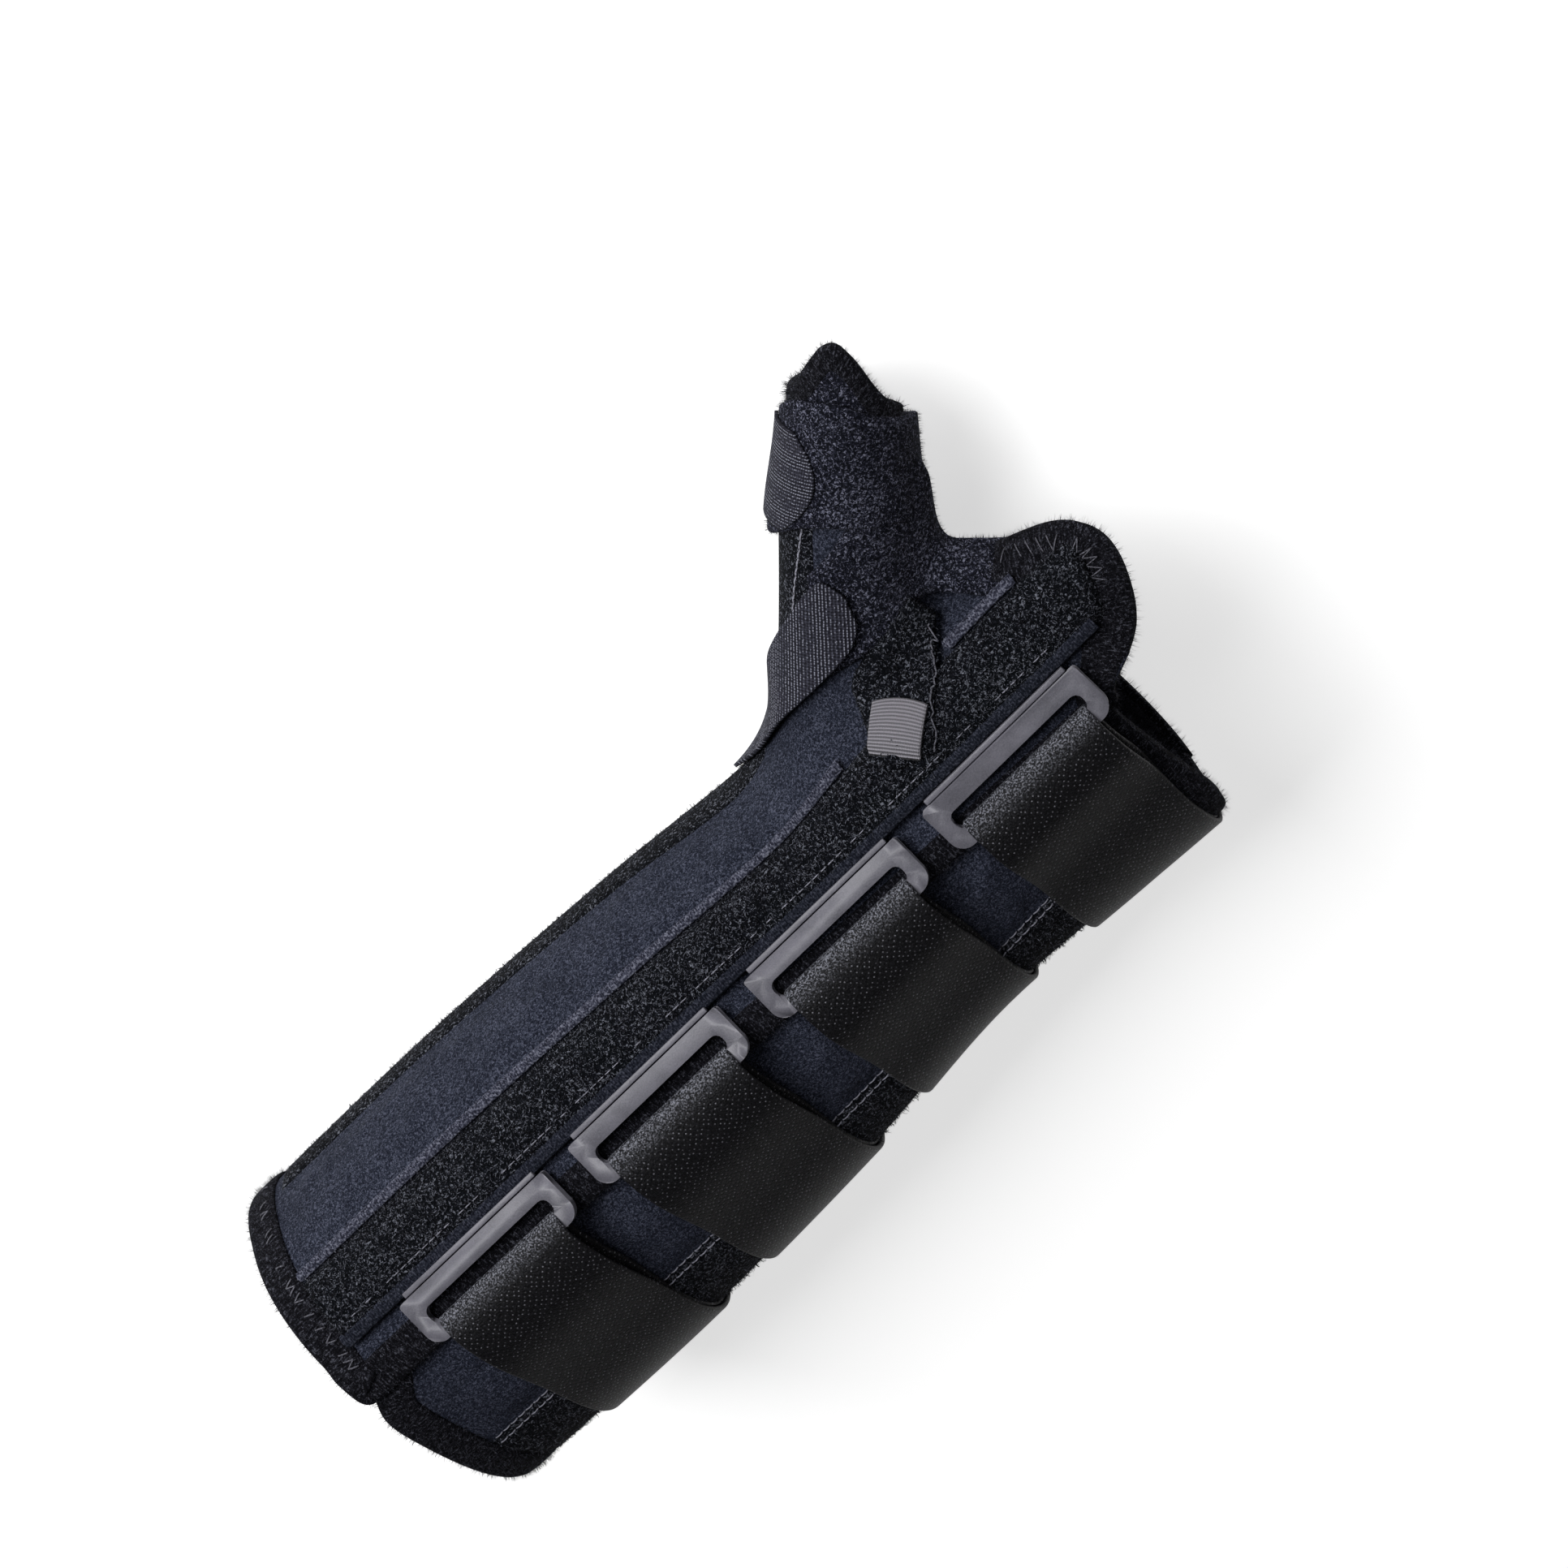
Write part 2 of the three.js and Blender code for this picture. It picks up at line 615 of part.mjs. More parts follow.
function webStrap() {
  const low = wall + 3 * gap;
  const face = (lift) => (row, column) => thumbPoint(
    thumbReach * mix(along(webEdges, 'low', row), along(webEdges, 'high', row), column),
    mix(along(webEdges, 'lowAngle', row), along(webEdges, 'highAngle', row), column), lift);
  return slab(range(0, 1, 1 / 12), range(0, 1, 1 / 3), face(low), face(low + clothThickness));
}

// Woven hook tab of the web strap, with a rounded end
const hookTabEdges = [
  { at: 0.0, lowAngle: 115, low: 0.1, highAngle: 118, high: 0.34 },
  { at: 0.35, lowAngle: 80, low: 0.23, highAngle: 94, high: 0.41 },
  { at: 0.7, lowAngle: 40, low: 0.36, highAngle: 60, high: 0.48 },
  { at: 0.9, lowAngle: 20, low: 0.43, highAngle: 38, high: 0.55 },
  { at: 1.0, lowAngle: 15, low: 0.475, highAngle: 22, high: 0.53 },
];

function webHookTab() {
  const lift = (row) => wall + 2 * gap + (clothThickness + 2 * gap) * smooth(row, 0.15, 0.5);
  const face = (extra) => (row, column) => thumbPoint(
    thumbReach * mix(along(hookTabEdges, 'low', row), along(hookTabEdges, 'high', row), column),
    mix(along(hookTabEdges, 'lowAngle', row), along(hookTabEdges, 'highAngle', row), column), lift(row) + extra);
  return slab([0, 0.2, 0.4, 0.55, 0.7, 0.82, 0.92, 1], range(0, 1, 1 / 3), face(0), face(tabThickness));
}

// Knit hook tab of the thumb strap, shaped like a D
function thumbHookTab() {
  const low = wall + 2.5 * gap + thumbStrapThickness;
  const place = (row) => thumbReach * mix(0.7, 0.88, row);
  const edge = (row) => 31 + 30 * (2 * row - 1) ** 2;
  const face = (lift) => (row, column) => thumbPoint(place(row), mix(edge(row), 108, column), lift);
  return slab(range(0, 1, 1 / 8), range(0, 1, 1 / 5), face(low), face(low + tabThickness));
}

// Loop patch at the foot of the thumb and the webbing pull tab sewn on it
const patchLift = (x, angle) => panelHigh(x, Math.min(angle, outerSeam(x))) + 1.3 * gap;

function thumbPatch() {
  const side = [{ at: 0, low: 60, high: 83 }, { at: 0.5, low: 62, high: 84 }, { at: 1, low: 72, high: 84 }];
  const angleOf = (row, column) => mix(along(side, 'low', row), along(side, 'high', row), column);
  const place = (row) => length * mix(0.72, 0.83, row);
  const face = (extra) => (row, column) => {
    const angle = angleOf(row, column);
    return armPoint(place(row), angle, patchLift(place(row), angle) + extra);
  };
  return slab(range(0, 1, 0.25), range(0, 1, 0.2), face(0), face(clothThickness));
}

function pullTab() {
  const centre = { x: length * 0.755, angle: 69.5 };
  const half = pullTabSize / 2;
  const turn = (shift) => THREE.MathUtils.radToDeg(shift / (armRadius(centre.x, 60) + wall + 5));
  const slant = degrees(42);
  const face = (extra) => (row, column) => {
    const alongArm = row * Math.cos(slant) - column * Math.sin(slant);
    const round = row * Math.sin(slant) + column * Math.cos(slant);
    const x = centre.x + alongArm;
    const angle = centre.angle + turn(round);
    return armPoint(x, angle, patchLift(x, angle) + clothThickness + 2 * gap + extra);
  };
  return slab(range(-half, half, half / 2), range(-half, half, half / 2), face(0), face(2 * clothThickness));
}

const finishes = {
  laminate: new THREE.MeshStandardMaterial({ color: 0x262a38, roughness: 0.85, metalness: 0 }),
  pile: new THREE.MeshStandardMaterial({ color: 0x1c1d22, roughness: 0.98, metalness: 0 }),
  binding: new THREE.MeshStandardMaterial({ color: 0x121317, roughness: 1, metalness: 0 }),
  strap: new THREE.MeshStandardMaterial({ color: 0x17181c, roughness: 0.9, metalness: 0 }),
  buckle: new THREE.MeshStandardMaterial({ color: 0x72747c, roughness: 0.55, metalness: 0 }),
  webbing: new THREE.MeshStandardMaterial({ color: 0x7c7a82, roughness: 0.85, metalness: 0 }),
  hook: new THREE.MeshStandardMaterial({ color: 0x42444c, roughness: 0.85, metalness: 0 }),
  seam: new THREE.MeshStandardMaterial({ color: 0x4a4c58, roughness: 0.9, metalness: 0 }),
};

const group = new THREE.Group();

function add(name, geometry, finish) {
  const mesh = new THREE.Mesh(geometry, finishes[finish]);
  mesh.name = name;
  group.add(mesh);
  return mesh;
}

add('main_panel', mainPanel(), 'laminate');
add('ulnar_flap', ulnarFlap(), 'laminate');
add('dorsal_panel', dorsalPanel(), 'pile');

const mainPath = mainBindingPath();
const flapTop = (angle) => mix(wall, tuckWall, smooth(angle, 6, 22.5));
const none = () => 0;
add('rim_binding', binding(mainPath.rim, placeFromStep, panelTop, overFlap), 'binding');
add('edge_binding', binding(mainPath.edge, placeFromStep, panelTop, overFlap), 'binding');
add('lobe_binding', binding(mainPath.lobe, placeFromStep, panelTop, overFlap), 'binding');
const flapColumns = angleColumns(flapSide, 15);
add('flap_rim_binding', binding(flapColumns, (angle, shift) => ({ x: flapStart(angle) + shift, angle }),
  flapTop, none), 'binding');
add('flap_end_binding', binding(flapColumns, (angle, shift) => ({ x: length * flapReach - shift, angle }),
  flapTop, none, flapEndBinding), 'binding');

const seamStart = rimSetback + bindingWidth + gap;
add('outer_ridge', ridge(seamStart, length * 0.7, outerSeam, () => panelLow), 'seam');
add('inner_ridge', ridge(seamStart, length * 0.935, innerSeam, (x) => panelHigh(x, innerSeam(x)) + gap), 'seam');

for (let i = 0; i < strapCount; i += 1) {
  const x = firstStrap + strapPitch * i;
  const frame = buckleFrame(x);
  const number = strapCount - i;
  const buckle = add(`buckle_${number}`, buckleGeometry(), 'buckle');
  const backward = frame.forward.clone().negate();
  const turned = new THREE.Matrix4().makeBasis(backward, frame.across, frame.normal);
  buckle.quaternion.setFromRotationMatrix(turned);
  buckle.position.copy(frame.origin);
  add(`strap_${number}`, strap(x), 'strap');
}

add('thumb_strap', thumbStrap(), 'strap');
add('thumb_hook_tab', thumbHookTab(), 'hook');
add('web_strap', webStrap(), 'strap');
add('web_hook_tab', webHookTab(), 'hook');
add('thumb_patch', thumbPatch(), 'pile');
add('pull_tab', pullTab(), 'webbing');

// The lowest strap lies on the floor and the box is centred over the origin
group.updateMatrixWorld(true);
const box = new THREE.Box3().setFromObject(group, true);
const centre = box.getCenter(new THREE.Vector3());
group.position.set(-centre.x, -centre.y, -box.min.z);
group.updateMatrixWorld(true);

export default group;
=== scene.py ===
import math
import bmesh
import bpy
import numpy as np
from mathutils import Matrix, Vector


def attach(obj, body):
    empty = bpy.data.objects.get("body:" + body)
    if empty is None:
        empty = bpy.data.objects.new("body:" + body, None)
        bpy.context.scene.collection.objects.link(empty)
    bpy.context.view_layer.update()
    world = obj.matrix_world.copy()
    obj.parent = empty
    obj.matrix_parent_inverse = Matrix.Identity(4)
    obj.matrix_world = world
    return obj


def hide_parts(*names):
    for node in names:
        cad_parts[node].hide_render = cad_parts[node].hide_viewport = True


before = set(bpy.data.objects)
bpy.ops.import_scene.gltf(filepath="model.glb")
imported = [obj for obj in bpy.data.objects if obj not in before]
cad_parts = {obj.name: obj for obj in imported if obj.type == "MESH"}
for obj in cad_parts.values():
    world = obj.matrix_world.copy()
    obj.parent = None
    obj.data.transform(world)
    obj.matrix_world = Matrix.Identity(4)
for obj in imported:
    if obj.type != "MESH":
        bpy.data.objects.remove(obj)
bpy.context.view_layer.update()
mm = 0.001
print("frame loaded")

# The hollow that holds the arm, as in the CAD source: millimetres and degrees in the arm's own axes
armSizes = {"length": 267.0, "halfWidth": 42.0, "dorsalRise": 34.5, "palmarDrop": 34.0,
            "dorsalPower": 2.2, "ulnarPower": 2.5, "palmarPower": 2.8, "ulnarFullness": 1.11}
armTable = {"at": [0, 0.225, 0.45, 0.618, 0.768, 0.9, 1.011],
            "width": [0.988, 1, 0.929, 0.821, 0.905, 0.964, 0.976],
            "dorsal": [1, 0.971, 0.884, 0.768, 0.667, 0.609, 0.58],
            "palmar": [1, 1, 0.996, 0.992, 0.912, 0.765, 0.676]}
thumbSizes = {"radius": 13.5, "reach": 126.4, "splay": 48.7, "droop": 7.5, "blend": 12.0}
thumbTable = {"at": [0, 0.277, 0.475, 0.672, 0.95], "radius": [1.407, 1.148, 1, 0.896, 0.815]}
seamTable = {"at": [0, 0.3, 0.53, 0.7, 0.84, 0.95], "inner": [46, 47.4, 49.4, 51.2, 53, 54.5],
             "outer": [70, 71, 72.5, 75.5, 79.5, 80]}
distalTable = {"at": [15, 30, 38.5, 46, 60, 73, 83, 93, 101, 115, 180, 260],
               "reach": [0.875, 0.9, 0.936, 0.956, 0.978, 0.989, 0.971, 0.928, 0.89, 0.865, 0.87, 0.868]}
gutterTable = {"at": [-60, -40, -24, -8, 9, 24, 45, 75, 110, 205],
               "reach": [0.84, 0.845, 0.875, 0.922, 0.956, 0.974, 0.962, 0.893, 0.86, 0.83]}
cloth = {"wall": 2.4, "tuckWall": 1.6, "edgeWall": 2.0, "gap": 0.35, "edgeSetback": 14.5, "rimSetback": 1.0,
         "flapReach": 0.888, "flapSide": -104.0, "panelSide": 255.5, "tuckAngle": 35.5}
strapRow = {"count": 4, "first": 50.3, "spacing": 55.4}  # the first lies nearest the rim
length = armSizes["length"]
wall = cloth["wall"]
arcStep = 0.68  # rough millimetres for a degree round the arm, for paths


def along(table, column, place):  # smooth curve through one column of a table
    at = np.array(table["at"], float)
    value = np.array(table[column], float)
    place = np.clip(np.asarray(place, float), at[0], at[-1])
    last = len(at) - 1
    i = np.clip(np.searchsorted(at, place, side="left") - 1, 0, last - 1)
    slope = np.array([(value[min(k + 1, last)] - value[max(k - 1, 0)])
                      / (at[min(k + 1, last)] - at[max(k - 1, 0)]) for k in range(last + 1)])
    span = at[i + 1] - at[i]
    t = (place - at[i]) / span
    curve = (2 * t**3 - 3 * t**2 + 1) * value[i] + (3 * t**2 - 2 * t**3) * value[i + 1]
    return curve + span * ((t**3 - 2 * t**2 + t) * slope[i] + (t**3 - t**2) * slope[i + 1])


def smooth(value, low, high):
    t = np.clip((np.asarray(value, float) - low) / (high - low), 0, 1)
    return t * t * (3 - 2 * t)


def mix(a, b, share):
    return a + (b - a) * share


def armRadius(x, angle):
    swing = np.sin(np.radians(angle))
    side = np.abs(swing)
    up = np.cos(np.radians(angle))
    half = (armSizes["halfWidth"] * along(armTable, "width", x / length)
            * np.where(swing < 0, armSizes["ulnarFullness"], 1))
    dorsal = armSizes["dorsalRise"] * along(armTable, "dorsal", x / length)
    palmar = armSizes["palmarDrop"] * along(armTable, "palmar", x / length)
    height = np.where(up >= 0, dorsal, palmar)
    dorsalPower = np.where(swing < 0, armSizes["ulnarPower"], armSizes["dorsalPower"])
    power = np.where(up >= 0, dorsalPower, armSizes["palmarPower"])
    return ((side / half)**power + (np.abs(up) / height)**power)**(-1 / power)


splay = math.radians(thumbSizes["splay"])
droop = math.radians(thumbSizes["droop"])
thumbFoot = np.array([length * 0.6536, armSizes["halfWidth"] * 0.25, -armSizes["palmarDrop"] * 0.206])
thumbAxis = np.array([math.cos(splay) * math.cos(droop), math.sin(splay) * math.cos(droop), -math.sin(droop)])
thumbUp = np.array([0, 0, 1.0]) - thumbAxis[2] * thumbAxis
thumbUp /= np.linalg.norm(thumbUp)
thumbSide = np.cross(thumbUp, thumbAxis)


def armAngle(points):  # from the back of the arm towards the thumb side
    return np.degrees(np.arctan2(points[..., 1], points[..., 2]))


def armDistance(points):
    return np.hypot(points[..., 1], points[..., 2]) - armRadius(points[..., 0], armAngle(points))


def thumbPlace(points):  # place along the thumb, angle round it and distance from its axis
    offset = points - thumbFoot
    place = offset @ thumbAxis
    offset = offset - place[..., None] * thumbAxis
    angle = np.degrees(np.arctan2(offset @ thumbSide, offset @ thumbUp))
    return place, angle, np.linalg.norm(offset, axis=-1)


def thumbDistance(points):
    place, angle, reach = thumbPlace(points)
    radius = thumbSizes["radius"] * along(thumbTable, "radius", place / thumbSizes["reach"])
    return np.hypot(reach, np.minimum(place, 0)) - radius


def hollowDistance(points):  # arm and thumb together, with a soft web between them
    arm = armDistance(points)
    thumb = thumbDistance(points)
    share = np.clip(0.5 + 0.5 * (thumb - arm) / thumbSizes["blend"], 0, 1)
    return mix(thumb, arm, share) - thumbSizes["blend"] * share * (1 - share)


def hollowSlope(points, step=0.05):
    slope = np.empty_like(points)
    for k in range(3):
        move = np.zeros(3)
        move[k] = step
        slope[..., k] = (hollowDistance(points + move) - hollowDistance(points - move)) / (2 * step)
    return slope


def walkOut(start, direction, lift, limit):
    point = start.copy()
    walked = np.zeros(point.shape[:-1])
    for i in range(30):
        short = lift - hollowDistance(point)
        going = (short > 1e-3) & (walked < limit)
        if not going.any():
            break
        step = np.where(going, np.minimum(np.maximum(short * 0.8, 0.01), limit - walked + 1e-6), 0)
        walked += step
        point += step[..., None] * direction
    return point


def armPoint(x, angle, lift):
    x, angle, lift = np.broadcast_arrays(*[np.asarray(value, float) for value in (x, angle, lift)])
    direction = np.stack([np.zeros_like(x), np.sin(np.radians(angle)), np.cos(np.radians(angle))], -1)
    start = direction * (armRadius(x, angle) + lift)[..., None]
    start[..., 0] = x
    near = (x > 130) & (np.mod(angle, 360) > 25) & (np.mod(angle, 360) < 215)
    if near.any():
        start[near] = walkOut(start[near], direction[near], lift[near], 8.0)
    return start


def thumbPoint(place, angle, lift):
    place, angle, lift = np.broadcast_arrays(*[np.asarray(value, float) for value in (place, angle, lift)])
    turn = np.radians(angle)[..., None]
    direction = np.cos(turn) * thumbUp + np.sin(turn) * thumbSide
    radius = thumbSizes["radius"] * along(thumbTable, "radius", place / thumbSizes["reach"]) + lift
    start = thumbFoot + place[..., None] * thumbAxis + radius[..., None] * direction
    return walkOut(start, direction, lift, 2.3 * thumbSizes["radius"] - radius + lift)


def innerSeam(x):
    return along(seamTable, "inner", x / length)


def outerSeam(x):
    return along(seamTable, "outer", x / length)


def panelEdge(x):
    return innerSeam(x) - np.degrees(cloth["edgeSetback"] / (armRadius(x, 36.0) + wall))


def distalReach(angle):
    return length * along(distalTable, "reach", angle)


def gutterReach(angle):
    return thumbSizes["reach"] * along(gutterTable, "reach", angle)


def overFlap(angle):
    lift = (cloth["tuckWall"] + cloth["gap"]) * (1 - smooth(angle, cloth["tuckAngle"] + 2, 45))
    return np.where(np.asarray(angle) > 180, 0, lift)


def panelTop(angle):
    own = np.where(np.asarray(angle) > 180, wall, mix(cloth["edgeWall"], wall, smooth(angle, 37, 45)))
    return overFlap(angle) + own


def flapTop(angle):
    return mix(wall, cloth["tuckWall"], smooth(angle, 6, 22.5))


def flapStart(angle):
    return 12 * smooth(angle, 15, cloth["tuckAngle"] + 8)


def flapEndAt(angle):  # the ulnar corner of the flap is cut back
    return length * cloth["flapReach"] - 6.0 * smooth(-np.asarray(angle), 56, 86)


# Where the arm's own axes lie in the frame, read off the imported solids
frameShift = np.array([-132.42, -28.79, 39.10]) * mm


def toFrame(points):
    return points * mm + frameShift


slimming = {"amount": 3.6, "from": 76, "to": 106, "inside": -6, "outside": 14}
madePieces = []


def slimTip(points):  # the splint draws in round the end of the thumb
    place, turn, reach = thumbPlace(points)
    aside = (points - thumbFoot) @ thumbSide
    draw = (slimming["amount"] * smooth(place, slimming["from"], slimming["to"])
            * smooth(aside, slimming["inside"], slimming["outside"]) * (reach < 30))
    return points - draw[:, None] * thumbSide


def addObject(name, data):
    made = bpy.data.objects.new(name, data)
    bpy.context.scene.collection.objects.link(made)
    return made


def meshFrom(bm, name):
    mesh = bpy.data.meshes.new(name)
    bm.to_mesh(mesh)
    bm.free()
    return mesh


def readValues(items, key, width=3, kind=float):
    values = np.empty(len(items) * width, dtype=kind)
    items.foreach_get(key, values)
    return values.reshape(-1, width) if width > 1 else values


def readTriangles(mesh):
    mesh.calc_loop_triangles()
    return readValues(mesh.loop_triangles, "vertices", 3, np.int32)


def makeObject(name, mesh, node=None, slotName=None, material=None):
    piece = addObject(name, mesh)
    if material:
        mesh.materials.append(material)
    mesh.polygons.foreach_set("use_smooth", np.ones(len(mesh.polygons), dtype=bool))
    mesh.update()
    madePieces.append(piece)
    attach(piece, "root")
    if node:
        for each in ([node] if isinstance(node, str) else node):
            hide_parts(each)
    return piece


def faceOutwards(mesh):  # turns a closed mesh the right way round
    a, b, c = readPoints(mesh)[readTriangles(mesh)].transpose(1, 0, 2)
    if np.einsum("ij,ij->i", a, np.cross(b, c)).sum() < 0:
        mesh.flip_normals()


def setPoints(mesh, points):
    mesh.vertices.foreach_set("co", np.ascontiguousarray(toFrame(points), dtype=np.float64).ravel())
    mesh.update()


def readPoints(mesh):
    return readValues(mesh.vertices, "co")


def armPoints(mesh):  # a mesh's points in the arm's own axes
    return (readPoints(mesh) - frameShift) / mm


def gridMesh(name, columns, rows, place, wrap=False, outward=True):  # a grid laid on the form by place(u, v)
    bm = bmesh.new()
    bmesh.ops.create_grid(bm, x_segments=columns, y_segments=rows, size=0.5)
    mesh = meshFrom(bm, name)
    flat = readPoints(mesh)[:, :2] + 0.5
    points, uv = place(flat[:, 0], flat[:, 1])
    setPoints(mesh, points)
    corners = readValues(mesh.loops, "vertex_index", 1, np.int32)
    layer = mesh.uv_layers.new(name="UVMap")
    layer.data.foreach_set("uv", np.stack(np.broadcast_arrays(*uv), -1)[corners].ravel())
    if wrap:
        bm = bmesh.new()
        bm.from_mesh(mesh)
        bmesh.ops.remove_doubles(bm, verts=bm.verts, dist=1e-6)
        openEdges = [edge for edge in bm.edges if edge.is_boundary]
        if openEdges:
            bmesh.ops.holes_fill(bm, edges=openEdges, sides=0)
        bm.to_mesh(mesh)
        bm.free()
        faceOutwards(mesh)
    elif outward:
        turnFromHollow(mesh)
    return mesh


def readFaces(mesh):  # centres in the arm's axes, and normals
    return (readValues(mesh.polygons, "center") - frameShift) / mm, readValues(mesh.polygons, "normal")


def turnFromHollow(mesh):  # the normals of an open sheet point away from the arm
    centres, normals = readFaces(mesh)
    if (hollowDistance(centres + normals) - hollowDistance(centres - normals)).sum() < 0:
        mesh.flip_normals()


def thicken(piece, thickness, offset=-1.0):
    modifier = piece.modifiers.new("thickness", "SOLIDIFY")
    modifier.thickness = thickness * mm
    modifier.offset = offset


def sheetPiece(name, columns, rows, place, thickness, node, slotName, material, room=None):
    mesh = gridMesh(name, columns, rows, place)
    if room:
        puffUp(mesh, room)
    piece = makeObject(name, mesh, node, slotName, material)
    thicken(piece, thickness)
    return piece


def lineInside(piece):  # the inner faces and the cut take the lining
    piece.data.materials.append(lining)
    modifier = piece.modifiers["thickness"]
    modifier.material_offset = 1
    modifier.material_offset_rim = 1


def stripMesh(name, count, columns, rows, place):  # many small strips cut from one long grid
    total = count * (rows + 1) - 1
    bm = bmesh.new()
    bmesh.ops.create_grid(bm, x_segments=columns, y_segments=total, size=0.5)
    between = [face for face in bm.faces
               if int((face.calc_center_median().y + 0.5) * total) % (rows + 1) == rows]
    bmesh.ops.delete(bm, geom=between, context="FACES_ONLY")
    mesh = meshFrom(bm, name)
    flat = readPoints(mesh)
    row = np.rint((flat[:, 1] + 0.5) * total).astype(int)
    setPoints(mesh, place(row // (rows + 1), flat[:, 0] * 2, (row % (rows + 1)) / rows))
    return mesh


def scatter(mesh, count, seed):  # seeded points spread over a mesh, with their normals, in the arm's axes
    a, b, c = armPoints(mesh)[readTriangles(mesh)].transpose(1, 0, 2)
    normal = np.cross(b - a, c - a)
    area = np.linalg.norm(normal, axis=1)
    spread = np.random.default_rng(seed)
    pick = spread.choice(len(area), count, p=area / area.sum())
    share = np.sqrt(spread.random(count))[:, None]
    slide = spread.random(count)[:, None]
    point = a[pick] * (1 - share) + b[pick] * share * (1 - slide) + c[pick] * share * slide
    return point, normal[pick] / area[pick][:, None]


def fibres(name, mesh, look, material, slotName):  # short hairs or curled loops standing on a surface
    root, normal = scatter(mesh, look["count"], look["seed"])
    count = len(root)
    spread = np.random.default_rng(look["seed"] + 1)
    tangent = np.cross(normal, spread.normal(size=(count, 3)))
    tangent /= np.linalg.norm(tangent, axis=1)[:, None]
    side = np.cross(normal, tangent)
    reach = look["length"] * (0.55 + 0.9 * spread.random(count))
    lean = np.radians(look["lean"] * (0.7 + 0.6 * spread.random(count)))
    curl = np.radians(look["curl"] * (0.5 + spread.random(count)))
    root = root - normal * 0.15

    def place(index, across, along):
        turn = lean[index] + curl[index] * along
        forward = (np.sin(turn) - np.sin(lean[index])) * reach[index] / curl[index]
        up = (np.cos(lean[index]) - np.cos(turn)) * reach[index] / curl[index]
        half = look["width"] / 2 * (1 - look["taper"] * along) * across
        return (root[index] + forward[:, None] * tangent[index] + up[:, None] * normal[index]
                + half[:, None] * side[index])

    strips = stripMesh(name, count, 1, look["rows"], place)
    return makeObject(name, strips, slotName=slotName, material=material)


# Materials
def startMaterial(name, roughness, colour=(0.02, 0.02, 0.025)):
    material = bpy.data.materials.new(name)
    material.use_nodes = True
    shader = material.node_tree.nodes["Principled BSDF"]
    shader.inputs["Base Color"].default_value = (*colour, 1)
    shader.inputs["Roughness"].default_value = roughness
    return material, material.node_tree, shader


def addNode(tree, kind, inputs=None, **settings):
    made = tree.nodes.new("ShaderNode" + kind)
    for key, value in settings.items():
        setattr(made, key, value)
    for key, value in (inputs or {}).items():
        if isinstance(value, bpy.types.NodeSocket):
            tree.links.new(value, made.inputs[key])
        else:
            made.inputs[key].default_value = value
    return made


def objectPlace(tree):  # object coordinates in millimetres
    source = addNode(tree, "TexCoord").outputs["Object"]
    return addNode(tree, "VectorMath", {0: source, "Scale": 1000.0}, operation="SCALE").outputs[0]


def noise(tree, place, scale, detail=2.0, distortion=0.0):
    return addNode(tree, "TexNoise", {"Vector": place, "Scale": scale, "Detail": detail,
                                      "Distortion": distortion}).outputs["Fac"]


def maths(tree, operation, first, second=0.0):
    return addNode(tree, "Math", {0: first, 1: second}, operation=operation).outputs[0]


def colours(tree, factor, stops):
    ramp = addNode(tree, "ValToRGB", {"Fac": factor})
    elements = ramp.color_ramp.elements
    elements[0].position, elements[1].position = stops[0][0], stops[-1][0]
    elements[0].color, elements[1].color = (*stops[0][1], 1), (*stops[-1][1], 1)
    for place, colour in stops[1:-1]:
        elements.new(place).color = (*colour, 1)
    return ramp.outputs[0]


def bump(tree, shader, height, distance, strength=1.0):
    made = addNode(tree, "Bump", {"Height": height, "Strength": strength, "Distance": distance * mm})
    tree.links.new(made.outputs[0], shader.inputs["Normal"])


def clothMaterial(name, stops, scale, height, streak=0.0, broad=0.0, ribs=0.0, specular=0.06, roughness=0.95):
    material, tree, shader = startMaterial(name, roughness)  # flecked cloth; streaks run across a binding
    place = objectPlace(tree)
    grain = noise(tree, place, scale, 3.0, 1.0)
    if streak:
        chart = addNode(tree, "TexCoord").outputs["UV"]
        drawn = addNode(tree, "Mapping", {"Vector": chart, "Scale": (2.2, 0.5, 1)})
        lines = noise(tree, drawn.outputs[0], 1.0, 2.0)
        grain = maths(tree, "ADD", maths(tree, "MULTIPLY", grain, 1 - streak),
                      maths(tree, "MULTIPLY", lines, streak))
    tone = grain
    if broad:
        cloud = maths(tree, "SUBTRACT", noise(tree, place, 0.10, 3.0), 0.5)
        tone = maths(tree, "ADD", tone, maths(tree, "MULTIPLY", cloud, broad))
    tree.links.new(colours(tree, tone, stops), shader.inputs["Base Color"])
    shader.inputs["Specular IOR Level"].default_value = specular
    if ribs:
        wave = addNode(tree, "TexWave", {"Vector": addNode(tree, "TexCoord").outputs["UV"], "Scale": 0.27,
                                         "Distortion": 2.5, "Detail": 2.0}, bands_direction="X").outputs["Fac"]
        grain = maths(tree, "ADD", grain, maths(tree, "MULTIPLY", wave, ribs))
    bump(tree, shader, grain, height)
    return material


def grainMaterial(name, roughness, scale, detail, stops, specular=0.5, relief=None):
    material, tree, shader = startMaterial(name, roughness)
    place = objectPlace(tree)
    tree.links.new(colours(tree, noise(tree, place, scale, detail), stops), shader.inputs["Base Color"])
    shader.inputs["Specular IOR Level"].default_value = specular
    if relief:
        bump(tree, shader, noise(tree, place, relief["scale"], relief["detail"]), relief["height"],
             relief["strength"])
    return material


def fibreMaterial(name, low, high):
    return grainMaterial(name, 0.8, 1.3, 2.0, [(0.46, low), (0.66, high)], 0.06)


def threadMaterial(name, low, high):
    return grainMaterial(name, 0.75, 2.5, 2.0, [(0.35, low), (0.65, high)],
                         relief={"scale": 6.0, "detail": 1.0, "height": 0.1, "strength": 1.0})


